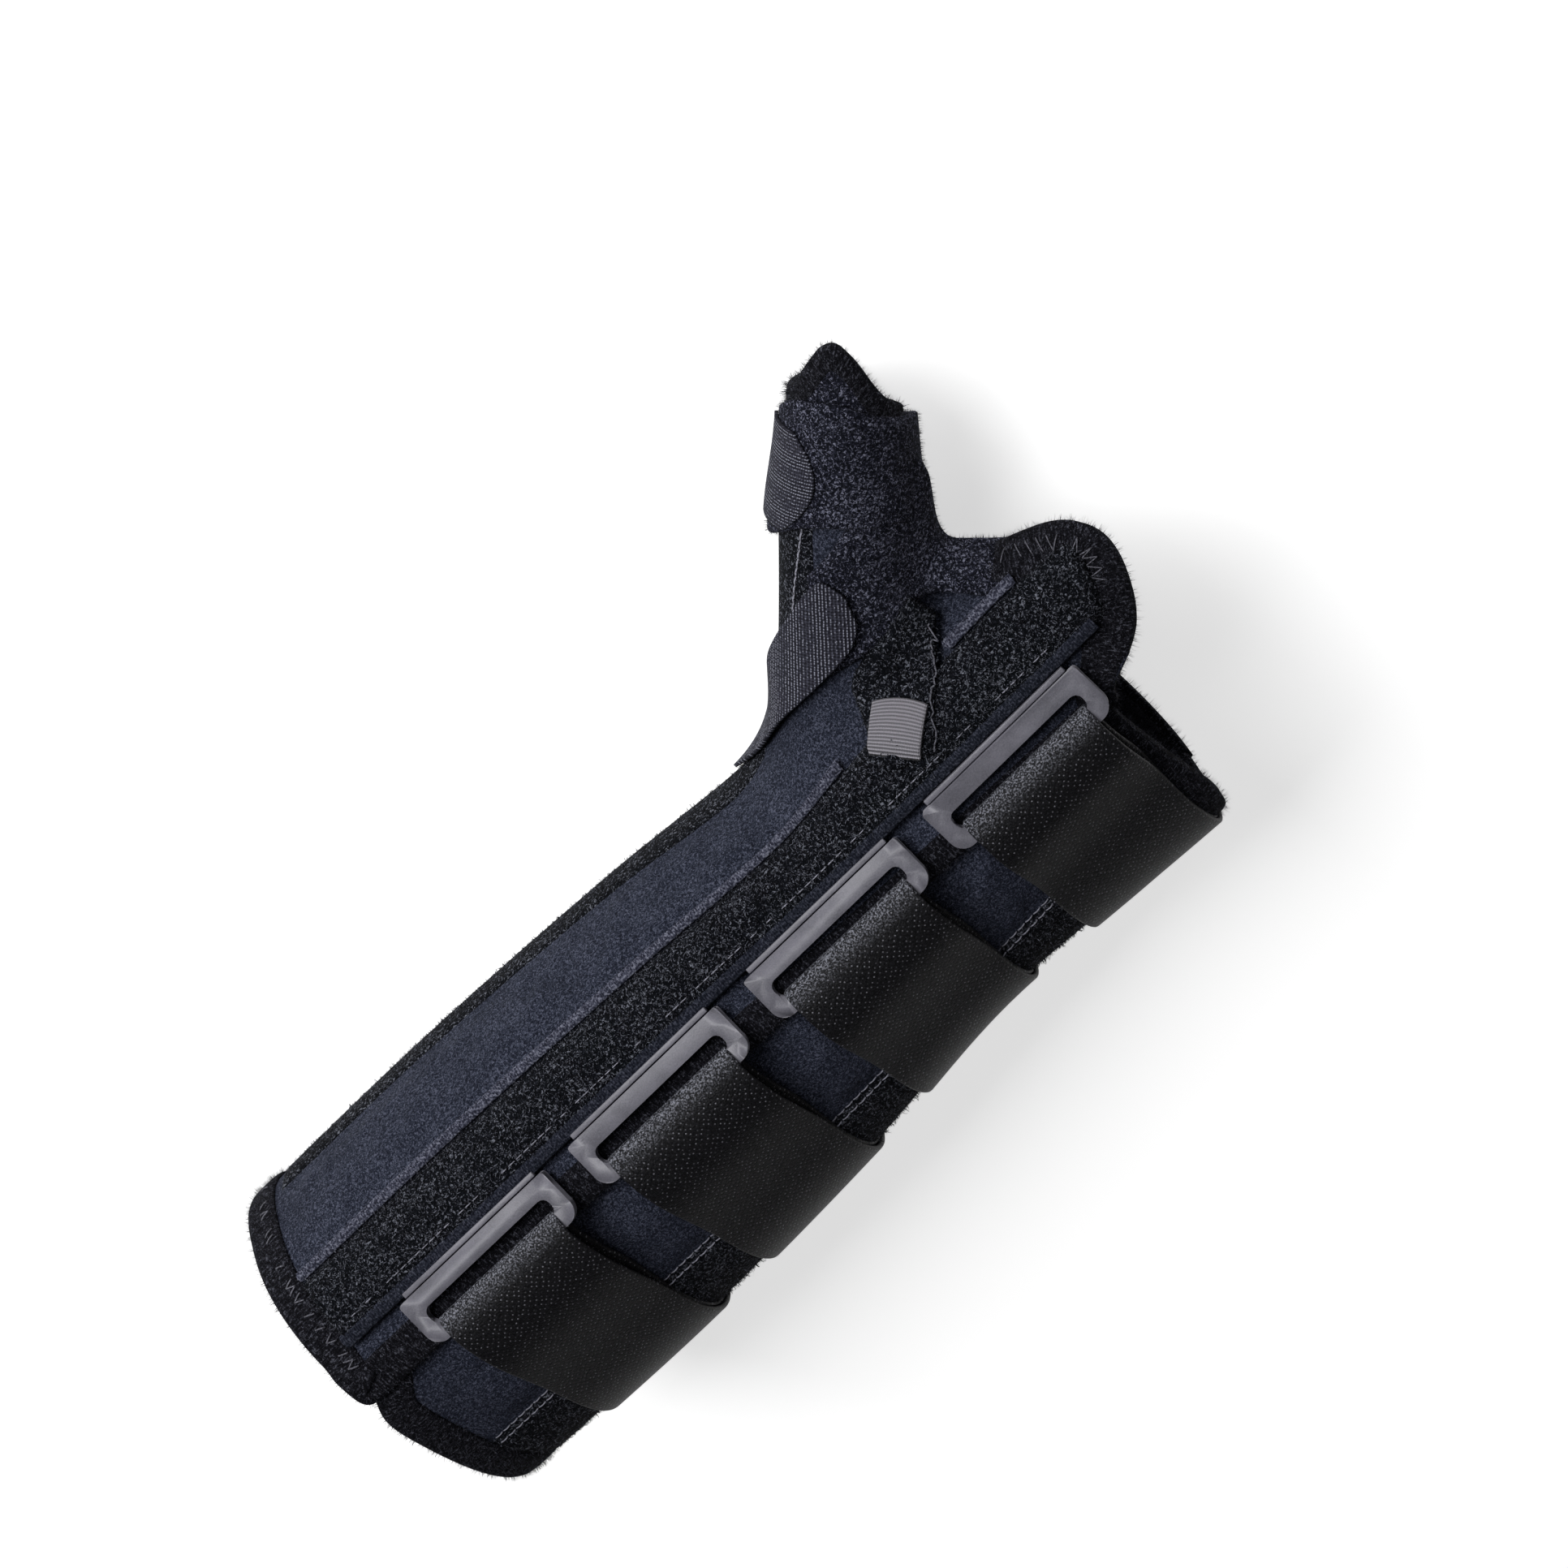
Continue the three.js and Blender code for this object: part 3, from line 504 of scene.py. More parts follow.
def seamMaterial(name, stops):
    return grainMaterial(name, 0.9, 1.8, 3.0, stops, 0.08,
                         {"scale": 1.8, "detail": 3.0, "height": 0.25, "strength": 0.6})


def strapMaterial():
    material, tree, shader = startMaterial("laminateStrap", 0.5)
    place = objectPlace(tree)
    chart = addNode(tree, "TexCoord").outputs["UV"]
    turned = addNode(tree, "Mapping", {"Vector": chart, "Rotation": (0, 0, 0.7)}).outputs[0]
    cells = addNode(tree, "TexVoronoi", {"Vector": turned, "Scale": 0.78, "Randomness": 0.4},
                    voronoi_dimensions="2D")
    speck = maths(tree, "LESS_THAN", cells.outputs["Distance"], 0.14)
    vary = addNode(tree, "SeparateColor", {"Color": cells.outputs["Color"]}).outputs[0]
    specks = maths(tree, "MULTIPLY", speck, vary)
    grain = noise(tree, place, 2.4, 3.0)
    base = colours(tree, grain, [(0.42, (0.002, 0.002, 0.0025)), (0.68, (0.010, 0.010, 0.012))])
    # painted highlight: bright glinting grain standing in for the light on the strap's roll over the buckle
    paintedRollHighlight = colours(tree, grain, [(0.40, (0.004, 0.004, 0.005)), (0.50, (0.022, 0.023, 0.028)),
                                    (0.64, (0.170, 0.175, 0.205))])
    fromFold = addNode(tree, "SeparateXYZ", {"Vector": chart}).outputs[1]  # painted highlight where the strap rolls over the buckle's outer bar
    begun, ended = (addNode(tree, "MapRange", {"Value": fromFold, "From Min": low, "From Max": high},
                            interpolation_type="SMOOTHSTEP").outputs[0]
                    for low, high in ((-3.0, 0.0), (8.5, 1.5)))
    rollHighlightShare = maths(tree, "MULTIPLY", begun, ended)
    body = addNode(tree, "Mix", {"Factor": rollHighlightShare, "A": base, "B": paintedRollHighlight}, data_type="RGBA")
    mixed = addNode(tree, "Mix", {"Factor": specks, "A": body.outputs["Result"], "B": (0.15, 0.15, 0.17, 1)},
                    data_type="RGBA")
    tree.links.new(mixed.outputs["Result"], shader.inputs["Base Color"])
    shader.inputs["Specular IOR Level"].default_value = 0.12
    bump(tree, shader, maths(tree, "ADD", grain, maths(tree, "MULTIPLY", cells.outputs["Distance"], 0.3)), 0.4)
    return material


def buckleMaterial():
    material, tree, shader = startMaterial("mouldedPlastic", 0.48)
    place = objectPlace(tree)
    grain = noise(tree, place, 3.0, 3.0)
    tone = maths(tree, "ADD", maths(tree, "MULTIPLY", grain, 0.5),
                 maths(tree, "MULTIPLY", noise(tree, place, 0.15, 3.0), 0.5))
    stops = [(0.35, (0.066, 0.065, 0.079)), (0.65, (0.118, 0.115, 0.138))]
    tree.links.new(colours(tree, tone, stops), shader.inputs["Base Color"])
    tree.links.new(maths(tree, "ADD", 0.40, maths(tree, "MULTIPLY", grain, 0.18)), shader.inputs["Roughness"])
    bump(tree, shader, grain, 0.10, 0.5)
    return material


def webbingMaterial():
    material, tree, shader = startMaterial("ribbedWebbing", 0.8)
    chart = addNode(tree, "TexCoord").outputs["UV"]
    ribs = addNode(tree, "TexWave", {"Vector": chart, "Scale": 0.36, "Distortion": 0.4, "Detail": 1.0},
                   bands_direction="Y").outputs["Fac"]
    weft = addNode(tree, "TexWave", {"Vector": chart, "Scale": 0.75, "Distortion": 0.8},
                   bands_direction="X").outputs["Fac"]
    height = maths(tree, "ADD", ribs, maths(tree, "MULTIPLY", weft, 0.35))
    tree.links.new(colours(tree, height, [(0.1, (0.075, 0.073, 0.083)), (0.9, (0.24, 0.23, 0.26))]),
                   shader.inputs["Base Color"])
    bump(tree, shader, height, 0.35)
    return material


def hookMaterial():
    material, tree, shader = startMaterial("hookWeave", 0.8)
    chart = addNode(tree, "TexCoord").outputs["UV"]
    rows = addNode(tree, "TexWave", {"Vector": chart, "Scale": 0.42, "Distortion": 0.8, "Detail": 1.0},
                   bands_direction="Y").outputs["Fac"]
    knots = addNode(tree, "TexVoronoi", {"Vector": chart, "Scale": 1.5, "Randomness": 0.5},
                    voronoi_dimensions="2D")
    height = maths(tree, "ADD", maths(tree, "MULTIPLY", rows, 0.6),
                   maths(tree, "SUBTRACT", 0.6, knots.outputs["Distance"]))
    tree.links.new(colours(tree, height, [(0.35, (0.008, 0.008, 0.012)), (0.75, (0.034, 0.035, 0.050)),
                                          (0.98, (0.20, 0.205, 0.25))]), shader.inputs["Base Color"])
    shader.inputs["Specular IOR Level"].default_value = 0.1
    bump(tree, shader, height, 0.3)
    return material


laminate = clothMaterial("navyLaminate", [(0.39, (0.005, 0.006, 0.011)), (0.51, (0.015, 0.018, 0.029)),
                                          (0.64, (0.056, 0.061, 0.088))], 2.1, 0.35, broad=0.10, roughness=0.85)
pile = clothMaterial("loopPile", [(0.47, (0.0015, 0.002, 0.003)), (0.57, (0.008, 0.009, 0.013)),
                                  (0.66, (0.120, 0.127, 0.152))], 1.5, 1.0, broad=0.12)
plush = clothMaterial("plushStrap", [(0.45, (0.003, 0.0035, 0.006)), (0.55, (0.017, 0.018, 0.030)),
                                     (0.65, (0.145, 0.150, 0.200))], 1.8, 0.7, broad=0.12)
bound = clothMaterial("plushBinding", [(0.45, (0.002, 0.002, 0.003)), (0.54, (0.008, 0.008, 0.011)),
                                       (0.64, (0.060, 0.062, 0.078))], 1.9, 0.7, streak=0.45, ribs=0.10)
lining = clothMaterial("softLining", [(0.40, (0.004, 0.004, 0.006)), (0.62, (0.018, 0.018, 0.024))], 2.4, 0.3)
strapCloth, plastic, webbing, hookCloth = strapMaterial(), buckleMaterial(), webbingMaterial(), hookMaterial()
thread = threadMaterial("seamThread", (0.09, 0.09, 0.11), (0.22, 0.22, 0.27))
seamCloth = seamMaterial("ribbedSeam", [(0.40, (0.012, 0.013, 0.021)), (0.52, (0.042, 0.045, 0.066)),
                                        (0.66, (0.140, 0.145, 0.185))])
# a darker copy of the ribbed seam cloth for the inner ridge: painted shade where the dorsal panel's raised edge
# steps down
shadedSeamCloth = seamMaterial("shadedSeam", [(0.38, (0.004, 0.005, 0.009)), (0.52, (0.013, 0.015, 0.023)),
                                        (0.68, (0.045, 0.048, 0.066))])
faintThread = threadMaterial("faintThread", (0.02, 0.02, 0.027), (0.10, 0.10, 0.125))
pileCurl = fibreMaterial("pileCurl", (0.003, 0.003, 0.004), (0.085, 0.090, 0.110))
plushHair = fibreMaterial("plushHair", (0.002, 0.002, 0.003), (0.065, 0.067, 0.085))
print("materials made")


# Cloth simulation for the padded sheets: pressed out from under held edges, capped, then applied
puff = {"frames": 12, "pressure": 40.0, "mass": 0.01, "slack": 0.03, "dip": -0.35}


def puffUp(mesh, roomAt):  # roomAt tells how far each point may move outwards; points with none are held
    room = roomAt(armPoints(mesh))
    trial = addObject("clothTrial", mesh.copy())
    trial.vertex_groups.new(name="held").add(np.flatnonzero(room < 0.02).tolist(), 1.0, "REPLACE")
    modifier = trial.modifiers.new("cloth", "CLOTH")
    modifier.collision_settings.use_collision = False
    modifier.point_cache.frame_start, modifier.point_cache.frame_end = 1, puff["frames"]
    settings = modifier.settings
    settings.vertex_group_mass = "held"
    settings.quality = 5
    settings.mass = puff["mass"]
    settings.use_pressure = True
    settings.uniform_pressure_force = puff["pressure"]
    settings.shrink_min = -puff["slack"]
    settings.effector_weights.gravity = 0
    for step in range(1, puff["frames"] + 1):
        bpy.context.scene.frame_set(step)
    moved = armPoints(trial.evaluated_get(bpy.context.evaluated_depsgraph_get()).data)
    points = armPoints(mesh)
    slope = hollowSlope(points)
    slope /= np.linalg.norm(slope, axis=1)[:, None]
    out = np.minimum(((moved - points) * slope).sum(1), room)
    out = np.maximum(out, puff["dip"] * room)
    print("cloth pass moved points by", round(float(out.min()), 2), "to", round(float(out.max()), 2), "mm")
    setPoints(mesh, points + out[:, None] * slope)
    bpy.data.objects.remove(trial)
    bpy.context.scene.frame_set(1)


def betweenStraps(x):  # 1 midway between two straps, 0 under one
    half = strapRow["spacing"] / 2
    return smooth(np.abs(np.mod(x - strapRow["first"] + half, strapRow["spacing"]) - half), 20.0, 25.5)


# Main shell: one skin over arm and thumb, cut back to the panel's outline
shell = {"voxel": 1.6, "thickness": 2.0, "webLow": -58.0, "webStart": 62.0, "inset": 0.7}


def closedTube(bm, columns, rows, place):
    made = bmesh.ops.create_grid(bm, x_segments=columns, y_segments=rows, size=0.5)["verts"]
    flat = np.array([vert.co[:2] for vert in made]) + 0.5
    for vert, point in zip(made, toFrame(place(flat[:, 0], flat[:, 1]))):
        vert.co = point
    bmesh.ops.remove_doubles(bm, verts=made, dist=1e-6)
    bmesh.ops.holes_fill(bm, edges=[edge for edge in bm.edges if edge.is_boundary], sides=0)


def plainArm(u, v):
    angle = 360 * u
    x = mix(1.0, length + 4, v)
    radius = armRadius(x, angle) + wall
    return np.stack([x, radius * np.sin(np.radians(angle)), radius * np.cos(np.radians(angle))], -1)


def plainThumb(u, v):
    place = mix(0.0, thumbSizes["reach"] + 4, v)
    turn = np.radians(360 * u)[:, None]
    radius = thumbSizes["radius"] * along(thumbTable, "radius", place / thumbSizes["reach"]) + wall
    return (thumbFoot + place[:, None] * thumbAxis
            + radius[:, None] * (np.cos(turn) * thumbUp + np.sin(turn) * thumbSide))


def rounded(first, second, radius):  # inside both edges, with the corner between them rounded
    corner = np.hypot(radius - first, radius - second) < radius
    return (first > 0) & (second > 0) & ((first > radius) | (second > radius) | corner)


def shellOutline(points):  # true where the panel has cloth
    angle = np.mod(armAngle(points), 360)
    place, turn, reach = thumbPlace(points)
    onThumb = thumbDistance(points) < armDistance(points)
    fromEdge = (angle - panelEdge(points[:, 0])) * arcStep - shell["inset"]
    fromLobe = distalReach(angle) - shell["inset"] - points[:, 0]
    onArm = ((points[:, 0] > cloth["rimSetback"] + shell["inset"]) & (angle < cloth["panelSide"])
             & rounded(fromEdge, fromLobe, 5.0))
    cutOut = (place > shell["webStart"]) & (turn < shell["webLow"])
    return np.where(onThumb, (place < gutterReach(turn) - shell["inset"]) & ~cutOut, onArm)


def buildShell():
    bm = bmesh.new()
    closedTube(bm, 96, 90, plainArm)
    closedTube(bm, 48, 50, plainThumb)
    bmesh.ops.recalc_face_normals(bm, faces=bm.faces)
    solid = addObject("rawShell", meshFrom(bm, "rawShell"))
    remesh = solid.modifiers.new("skin", "REMESH")
    remesh.mode = "VOXEL"
    remesh.voxel_size = shell["voxel"] * mm
    mesh = bpy.data.meshes.new_from_object(solid.evaluated_get(bpy.context.evaluated_depsgraph_get()))
    bpy.data.objects.remove(solid)
    points = armPoints(mesh)
    for i in range(5):
        slope = hollowSlope(points)
        short = wall - hollowDistance(points)
        points += np.clip(short, -3, 3)[:, None] * slope / (slope**2).sum(1).clip(0.25)[:, None]
    setPoints(mesh, points)
    bm = bmesh.new()
    bm.from_mesh(mesh)
    centres = (np.array([face.calc_center_median()[:] for face in bm.faces]) - frameShift) / mm
    keep = shellOutline(centres)
    bmesh.ops.delete(bm, geom=[face for face, kept in zip(bm.faces, keep) if not kept], context="FACES")
    for i in range(12):
        rim = [vert for vert in bm.verts if vert.is_boundary]
        move = []
        for vert in rim:
            near = [edge.other_vert(vert).co for edge in vert.link_edges if edge.is_boundary]
            move.append(vert.co.lerp(sum(near, Vector()) / len(near), 0.5))
        for vert, place in zip(rim, move):
            vert.co = place
    bm.to_mesh(mesh)
    bm.free()
    points = armPoints(mesh)
    angle = np.mod(armAngle(points), 360)
    lift = np.where(angle < 60, overFlap(angle), 0)
    points += lift[:, None] * hollowSlope(points)
    setPoints(mesh, points)
    return mesh


def navyRoom(points):  # the smooth cloth between the outer seam and the loop field may swell
    angle = np.mod(armAngle(points), 360)
    x = points[:, 0]
    low = outerSeam(x) + 3.0
    high = np.minimum(104.0, low + 60)
    across = smooth(angle - low, 0, 7) * (1 - smooth(angle, high - 7, high))
    return 1.1 * across * smooth(x, 11, 22) * (1 - smooth(x, 150, 172))


shellMesh = buildShell()
puffUp(shellMesh, navyRoom)
mainShell = makeObject("mainShell", shellMesh, "main_panel", "laminate", laminate)
thicken(mainShell, shell["thickness"])
lineInside(mainShell)
print("main shell made")


# Flap under the free edge: smooth cloth with a raised field of loop pile towards the ulnar side
flap = {"thickness": 1.5, "pileRise": 1.1, "pileStart": 8.0}


def roundAngle(degrees):  # a rough arc length round the arm, for patterns
    return np.asarray(degrees) * 0.67


def flapPlace(u, v):
    angle = mix(cloth["flapSide"], cloth["tuckAngle"], v)
    x = mix(flapStart(angle), flapEndAt(angle) - 0.5, u)
    return armPoint(x, angle, flapTop(angle)), (x, roundAngle(angle))


def pileEdgeAngle(x):  # the sewn edge of the loop field
    return -25.0 - 10.5 * smooth(x, 50, 210)


def domed(u, v, width, height, border):  # 0 at the rim of a pad and 1 inside it
    return np.minimum(smooth(np.minimum(u, 1 - u) * width, 0, border),
                      smooth(np.minimum(v, 1 - v) * height, 0, border))


def flapPilePlace(u, v):
    angle = mix(cloth["flapSide"], pileEdgeAngle(mix(flap["pileStart"], 230.0, u)), v)
    x = mix(flap["pileStart"], flapEndAt(angle) - 7, u)
    lift = flapTop(angle) + flap["pileRise"] * domed(u, v, 230, 57, 2.2)
    return armPoint(x, angle, lift), (x, roundAngle(angle))


def flapRoom(points):
    angle = armAngle(points)
    x = points[:, 0]
    across = smooth(angle - pileEdgeAngle(x), 1.5, 8) * (1 - smooth(angle, 8, 18))
    return across * (0.15 + 1.2 * betweenStraps(x)) * smooth(x, 14, 20) * (1 - smooth(x, 214, 222))


ulnarFlap = sheetPiece("ulnarFlap", 150, 80, flapPlace, flap["thickness"], "ulnar_flap", "laminate", laminate,
                       flapRoom)
lineInside(ulnarFlap)
flapPile = sheetPiece("flapPile", 180, 60, flapPilePlace, 0.8, None, "loop_pile", pile)

# Loop field on the palmar side and along the radial side, which the straps grip
sideLoop = {"start": 107.0, "end": 250.0, "rise": 0.4}


def sideLoopPlace(u, v):
    angle = mix(sideLoop["start"], sideLoop["end"], v)
    last = np.where(angle < 150, mix(168, 205, smooth(angle, 100, 150)), 222)
    x = mix(12.0, last, u)
    lift = wall + sideLoop["rise"] * domed(u, v, 200, 100, 1.5)
    return armPoint(x, angle, lift), (x, roundAngle(angle))


sideLoopPile = sheetPiece("sideLoopPile", 130, 90, sideLoopPlace, 0.5, None, "loop_pile", pile)
print("flap and loop fields made")

# Taped joint between the two panels, outside and inside
joint = {"low": 252.5, "high": 259.5, "start": 2.0, "end": 230.0, "outer": 0.75, "inner": 0.25}


def tapePlace(lift):
    def place(u, v):
        angle = mix(joint["low"], joint["high"], v)
        x = mix(joint["start"], joint["end"], u)
        return armPoint(x, angle, lift + 0.1 * np.sin(np.pi * v)), (x, roundAngle(angle))
    return place


sheetPiece("jointTape", 110, 6, tapePlace(wall + joint["outer"]), 0.7, None, "seam", lining)
sheetPiece("innerTape", 110, 6, tapePlace(joint["inner"]), 0.5, None, "seam", lining)

# Raised dorsal panel of loop pile, padded by the stay under it
dorsal = {"start": 9.4, "low": 3.1, "rise": 3.6, "thinRise": 1.4, "edge": 1.6, "thickness": 1.2, "swell": 0.7}


def dorsalHigh(x, angle):
    thinned = smooth(angle, outerSeam(x) - 13, outerSeam(x) - 1)
    return dorsal["low"] + mix(dorsal["rise"], dorsal["thinRise"], thinned)


def dorsalPlace(u, v):
    inner = innerSeam(length * 0.9) - 0.5
    nominal = mix(inner, outerSeam(length * 0.9) - 2, v)
    last = np.minimum(258.0, distalReach(nominal) - 6.0)
    x = mix(dorsal["start"], last, u)
    angle = mix(innerSeam(x) - 0.6, outerSeam(x) - 2.1, v)
    rim = domed(u, v, 240.0, 17.0, dorsal["edge"])
    lift = mix(dorsal["low"] + 0.2, dorsalHigh(x, angle), rim)
    return armPoint(x, angle, lift), (x, roundAngle(angle))


def dorsalRoom(points):
    angle = armAngle(points)
    x = points[:, 0]
    across = smooth(angle - innerSeam(x), 4.5, 10) * (1 - smooth(angle - outerSeam(x), -9, -4))
    clear = 1 - smooth(x, 176, 186) + smooth(x, 226, 232)  # held under the patch and the pull tab
    return dorsal["swell"] * across * smooth(x, 12, 20) * clear * (1 - smooth(x, 246, 252))


dorsalPanel = sheetPiece("dorsalPanel", 240, 40, dorsalPlace, dorsal["thickness"], "dorsal_panel", "loop_pile",
                         pile, dorsalRoom)
print("dorsal panel made")

# Ribbed seams between the panels
ridge = {"width": 2.5, "rise": 1.0, "pitch": 0.62}


def ridgePiece(name, node, start, end, seam, lift, width=ridge["width"], material=seamCloth):
    def place(u, v):
        x = mix(start, end, v)
        turn = np.pi * u
        rib = 1 + 0.22 * np.cos(2 * np.pi * x / ridge["pitch"]) * np.sin(turn)
        across = -np.cos(turn) * width / 2
        angle = seam(x) + np.degrees(across / 40.0)
        return armPoint(x, angle, lift(x) + ridge["rise"] * np.sin(turn) * rib), (x, across)

    sheetPiece(name, 8, int((end - start) / ridge["pitch"] * 5), place, 0.4, node, "seam", material)


ridgePiece("outerRidge", "outer_ridge", 10.0, 186.0, outerSeam, lambda x: 3.6 + 0 * x)
ridgePiece("outerRidgeTip", None, 222.0, 243.0, outerSeam, lambda x: 3.6 + 0 * x)
# the inner ridge takes the darker seam copy, which paints in shade
ridgePiece("innerRidge", "inner_ridge", 10.0, 250.0, lambda x: innerSeam(x) - 0.5,
           lambda x: dorsalHigh(x, innerSeam(x)) - 0.9, 3.3, shadedSeamCloth)
print("ridges made")

# Plush binding: one strip round a panel's edge, rolled over the cut
binding = {"width": 8.5, "thickness": 0.7}


def evenPath(first, second, step=1.0, soften=0):  # evenly spaced points along a path given in millimetres
    reach = np.concatenate([[0], np.cumsum(np.hypot(np.diff(first), np.diff(second)))])
    count = int(reach[-1] / step) + 1
    even = np.linspace(0, reach[-1], count)
    first, second = np.interp(even, reach, first), np.interp(even, reach, second)
    for i in range(soften):
        first[1:-1] = (first[:-2] + 2 * first[1:-1] + first[2:]) / 4
        second[1:-1] = (second[:-2] + 2 * second[1:-1] + second[2:]) / 4
    return first, second


def acrossPath(first, second):  # unit steps to the left of a path
    run = np.stack([np.gradient(first), np.gradient(second)])
    run /= np.hypot(*run)
    return np.stack([-run[1], run[0]])


def bindingPiece(name, nodes, path, pointAt, metric, top, bottom, inside, width=binding["width"], soften=12,
                 slotName="binding", widen=None):
    first, second = evenPath(path[0], np.asarray(path[1]) * metric, 1.0, soften)
    inward = acrossPath(first, second) * inside
    shifts = np.array([width, width - 0.25, width - 1.0, width * 0.55, 2.2, 0.6, -0.45, -0.85, -0.5, 0.3, 1.2,
                       3.2])
    rises = np.array([0.1, 0.62, 0.95, 1.08, 1.05, 0.92, 0.45, 0, -0.2, -0.1, 0.15, 0.3])
    fromTop = np.array([1, 1, 1, 1, 1, 1, 1, 0.5, 0, 0, 0, 0])
    at = np.linspace(0, 1, len(shifts))

    def place(u, v):
        spot = v * (len(first) - 1)
        steps = np.arange(len(first))
        shift = np.interp(u, at, shifts)
        if widen is not None:
            shift = np.where(shift > 1, shift * widen(np.interp(spot, steps, first)), shift)
        a = np.interp(spot, steps, first) + np.interp(spot, steps, inward[0]) * shift
        b = (np.interp(spot, steps, second) + np.interp(spot, steps, inward[1]) * shift) / metric
        share = np.interp(u, at, fromTop)
        lift = mix(bottom(b), top(b), share) + np.interp(u, at, rises) + np.where(share > 0.9, 0.15, 0)
        return pointAt(a, b, lift), (spot, shift)

    mesh = gridMesh(name, 22, len(first) - 1, place, outward=False)
    piece = makeObject(name, mesh, nodes, slotName, bound)
    faceNose(mesh)
    thicken(piece, binding["thickness"])
    return mesh


def faceNose(mesh):  # the top of the strip looks away from the arm
    centres, normals = readFaces(mesh)
    distance = hollowDistance(centres)
    upper = distance > np.median(distance)
    if (hollowSlope(centres[upper]) * normals[upper]).sum() < 0:
        mesh.flip_normals()


def noLift(angle):
    return 0 * angle


rimAngles = np.linspace(cloth["panelSide"], 30, 160)
edgeX = np.linspace(cloth["rimSetback"], 241.0, 120)
lobeAngles = np.linspace(29.5, 104.0, 90)
mainPath = (np.concatenate([np.full(160, cloth["rimSetback"]), edgeX, distalReach(lobeAngles)]),
            np.concatenate([rimAngles, panelEdge(edgeX), lobeAngles]))
mainBinding = bindingPiece("mainBinding", ["rim_binding", "edge_binding", "lobe_binding"], mainPath, armPoint,
                           arcStep, panelTop, overFlap, 1, widen=lambda x: 1 + 0.3 * smooth(x, 238, 252))
flapAngles = np.linspace(cloth["flapSide"], 36, 120)
flapRim = bindingPiece("flapRimBinding", "flap_rim_binding", (flapStart(flapAngles), flapAngles), armPoint,
                       arcStep, flapTop, noLift, -1)
flapEnd = bindingPiece("flapEndBinding", "flap_end_binding", (flapEndAt(flapAngles), flapAngles), armPoint,
                       0.62, flapTop, noLift, 1, width=13.0)
gutterAngles = np.linspace(-56, 198, 120)
gutterPath = (np.concatenate([np.linspace(68, gutterReach(-56.0), 40), gutterReach(gutterAngles),
                              np.linspace(gutterReach(198.0), 68, 40)]),
              np.concatenate([np.full(40, -56.0), gutterAngles, np.full(40, 198.0)]))
thumbBinding = bindingPiece("thumbBinding", None, gutterPath, thumbPoint, 0.24,
                            lambda angle: wall + 0 * angle, noLift, 1, width=5.0, soften=10)
palmarAngles = np.linspace(128, cloth["panelSide"] + 0.4, 110)
palmarEnd = bindingPiece("palmarEndBinding", None, (distalReach(palmarAngles), palmarAngles), armPoint, 0.66,
                         panelTop, noLift, 1, width=8.0)


# Plush facing all over the tip of the thumb
def thumbTipPlace(u, v):
    angle = mix(-54.0, 196.0, v)
    t = mix(84.0, gutterReach(angle) - 0.6, u)
    return thumbPoint(t, angle, wall + 0.55 + 0.25 * smooth(u, 0, 0.1)), (t, angle * 0.24)


thumbTip = sheetPiece("thumbTipFacing", 60, 110, thumbTipPlace, 0.5, None, "binding", plush)
print("bindings made")

# Buckles: flat frames with a slot and a thin flange on the side of the seam
buckle = {"length": 47.5, "width": 13.0, "thickness": 2.6, "innerBar": 4.4, "outerBar": 4.0, "slot": 40.0,
          "innerCorner": 0.8, "outerCorner": 6.5, "slotCorner": 1.9, "edge": 0.6, "pitchLow": 5.7,
          "pitchHigh": 9.3, "flange": (43, 1.3, 1.5), "flangeAt": (0, -0.95, 0.75), "flangeEdge": 0.22}


def unit(vector):
    return vector / np.linalg.norm(vector)


def buckleFrame(x):  # origin at the inner bar, then the directions along the arm, across the buckle and up
    def turn(distance):
        return np.degrees(distance / (armRadius(x, 36.0) + wall))

    def innerAngle(place):
        return innerSeam(place) - turn(2.6)

    half = buckle["length"] / 2
    origin = armPoint(x, innerAngle(x), buckle["pitchLow"])
    outer = armPoint(x, innerAngle(x) - turn(buckle["width"]), buckle["pitchHigh"])
    forward = unit(armPoint(x + half, innerAngle(x + half), buckle["pitchLow"])
                   - armPoint(x - half, innerAngle(x - half), buckle["pitchLow"]))
    across = outer - origin
    across = unit(across - across @ forward * forward)
    return {"origin": origin, "forward": forward, "across": across, "up": np.cross(across, forward),
            "outerAngle": float(innerAngle(x) - turn(buckle["width"]))}


def bucklePoint(seat, shift, across, up):
    shift, across, up = (np.asarray(value, float)[..., None] for value in (shift, across, up))
    return seat["origin"] + shift * seat["forward"] + across * seat["across"] + up * seat["up"]


def bevelCorners(bm, edges, radius, segments):
    bmesh.ops.bevel(bm, geom=edges, offset=radius * mm, offset_type="OFFSET", affect="EDGES", segments=segments,
                    profile=0.5, material=-1, clamp_overlap=True)


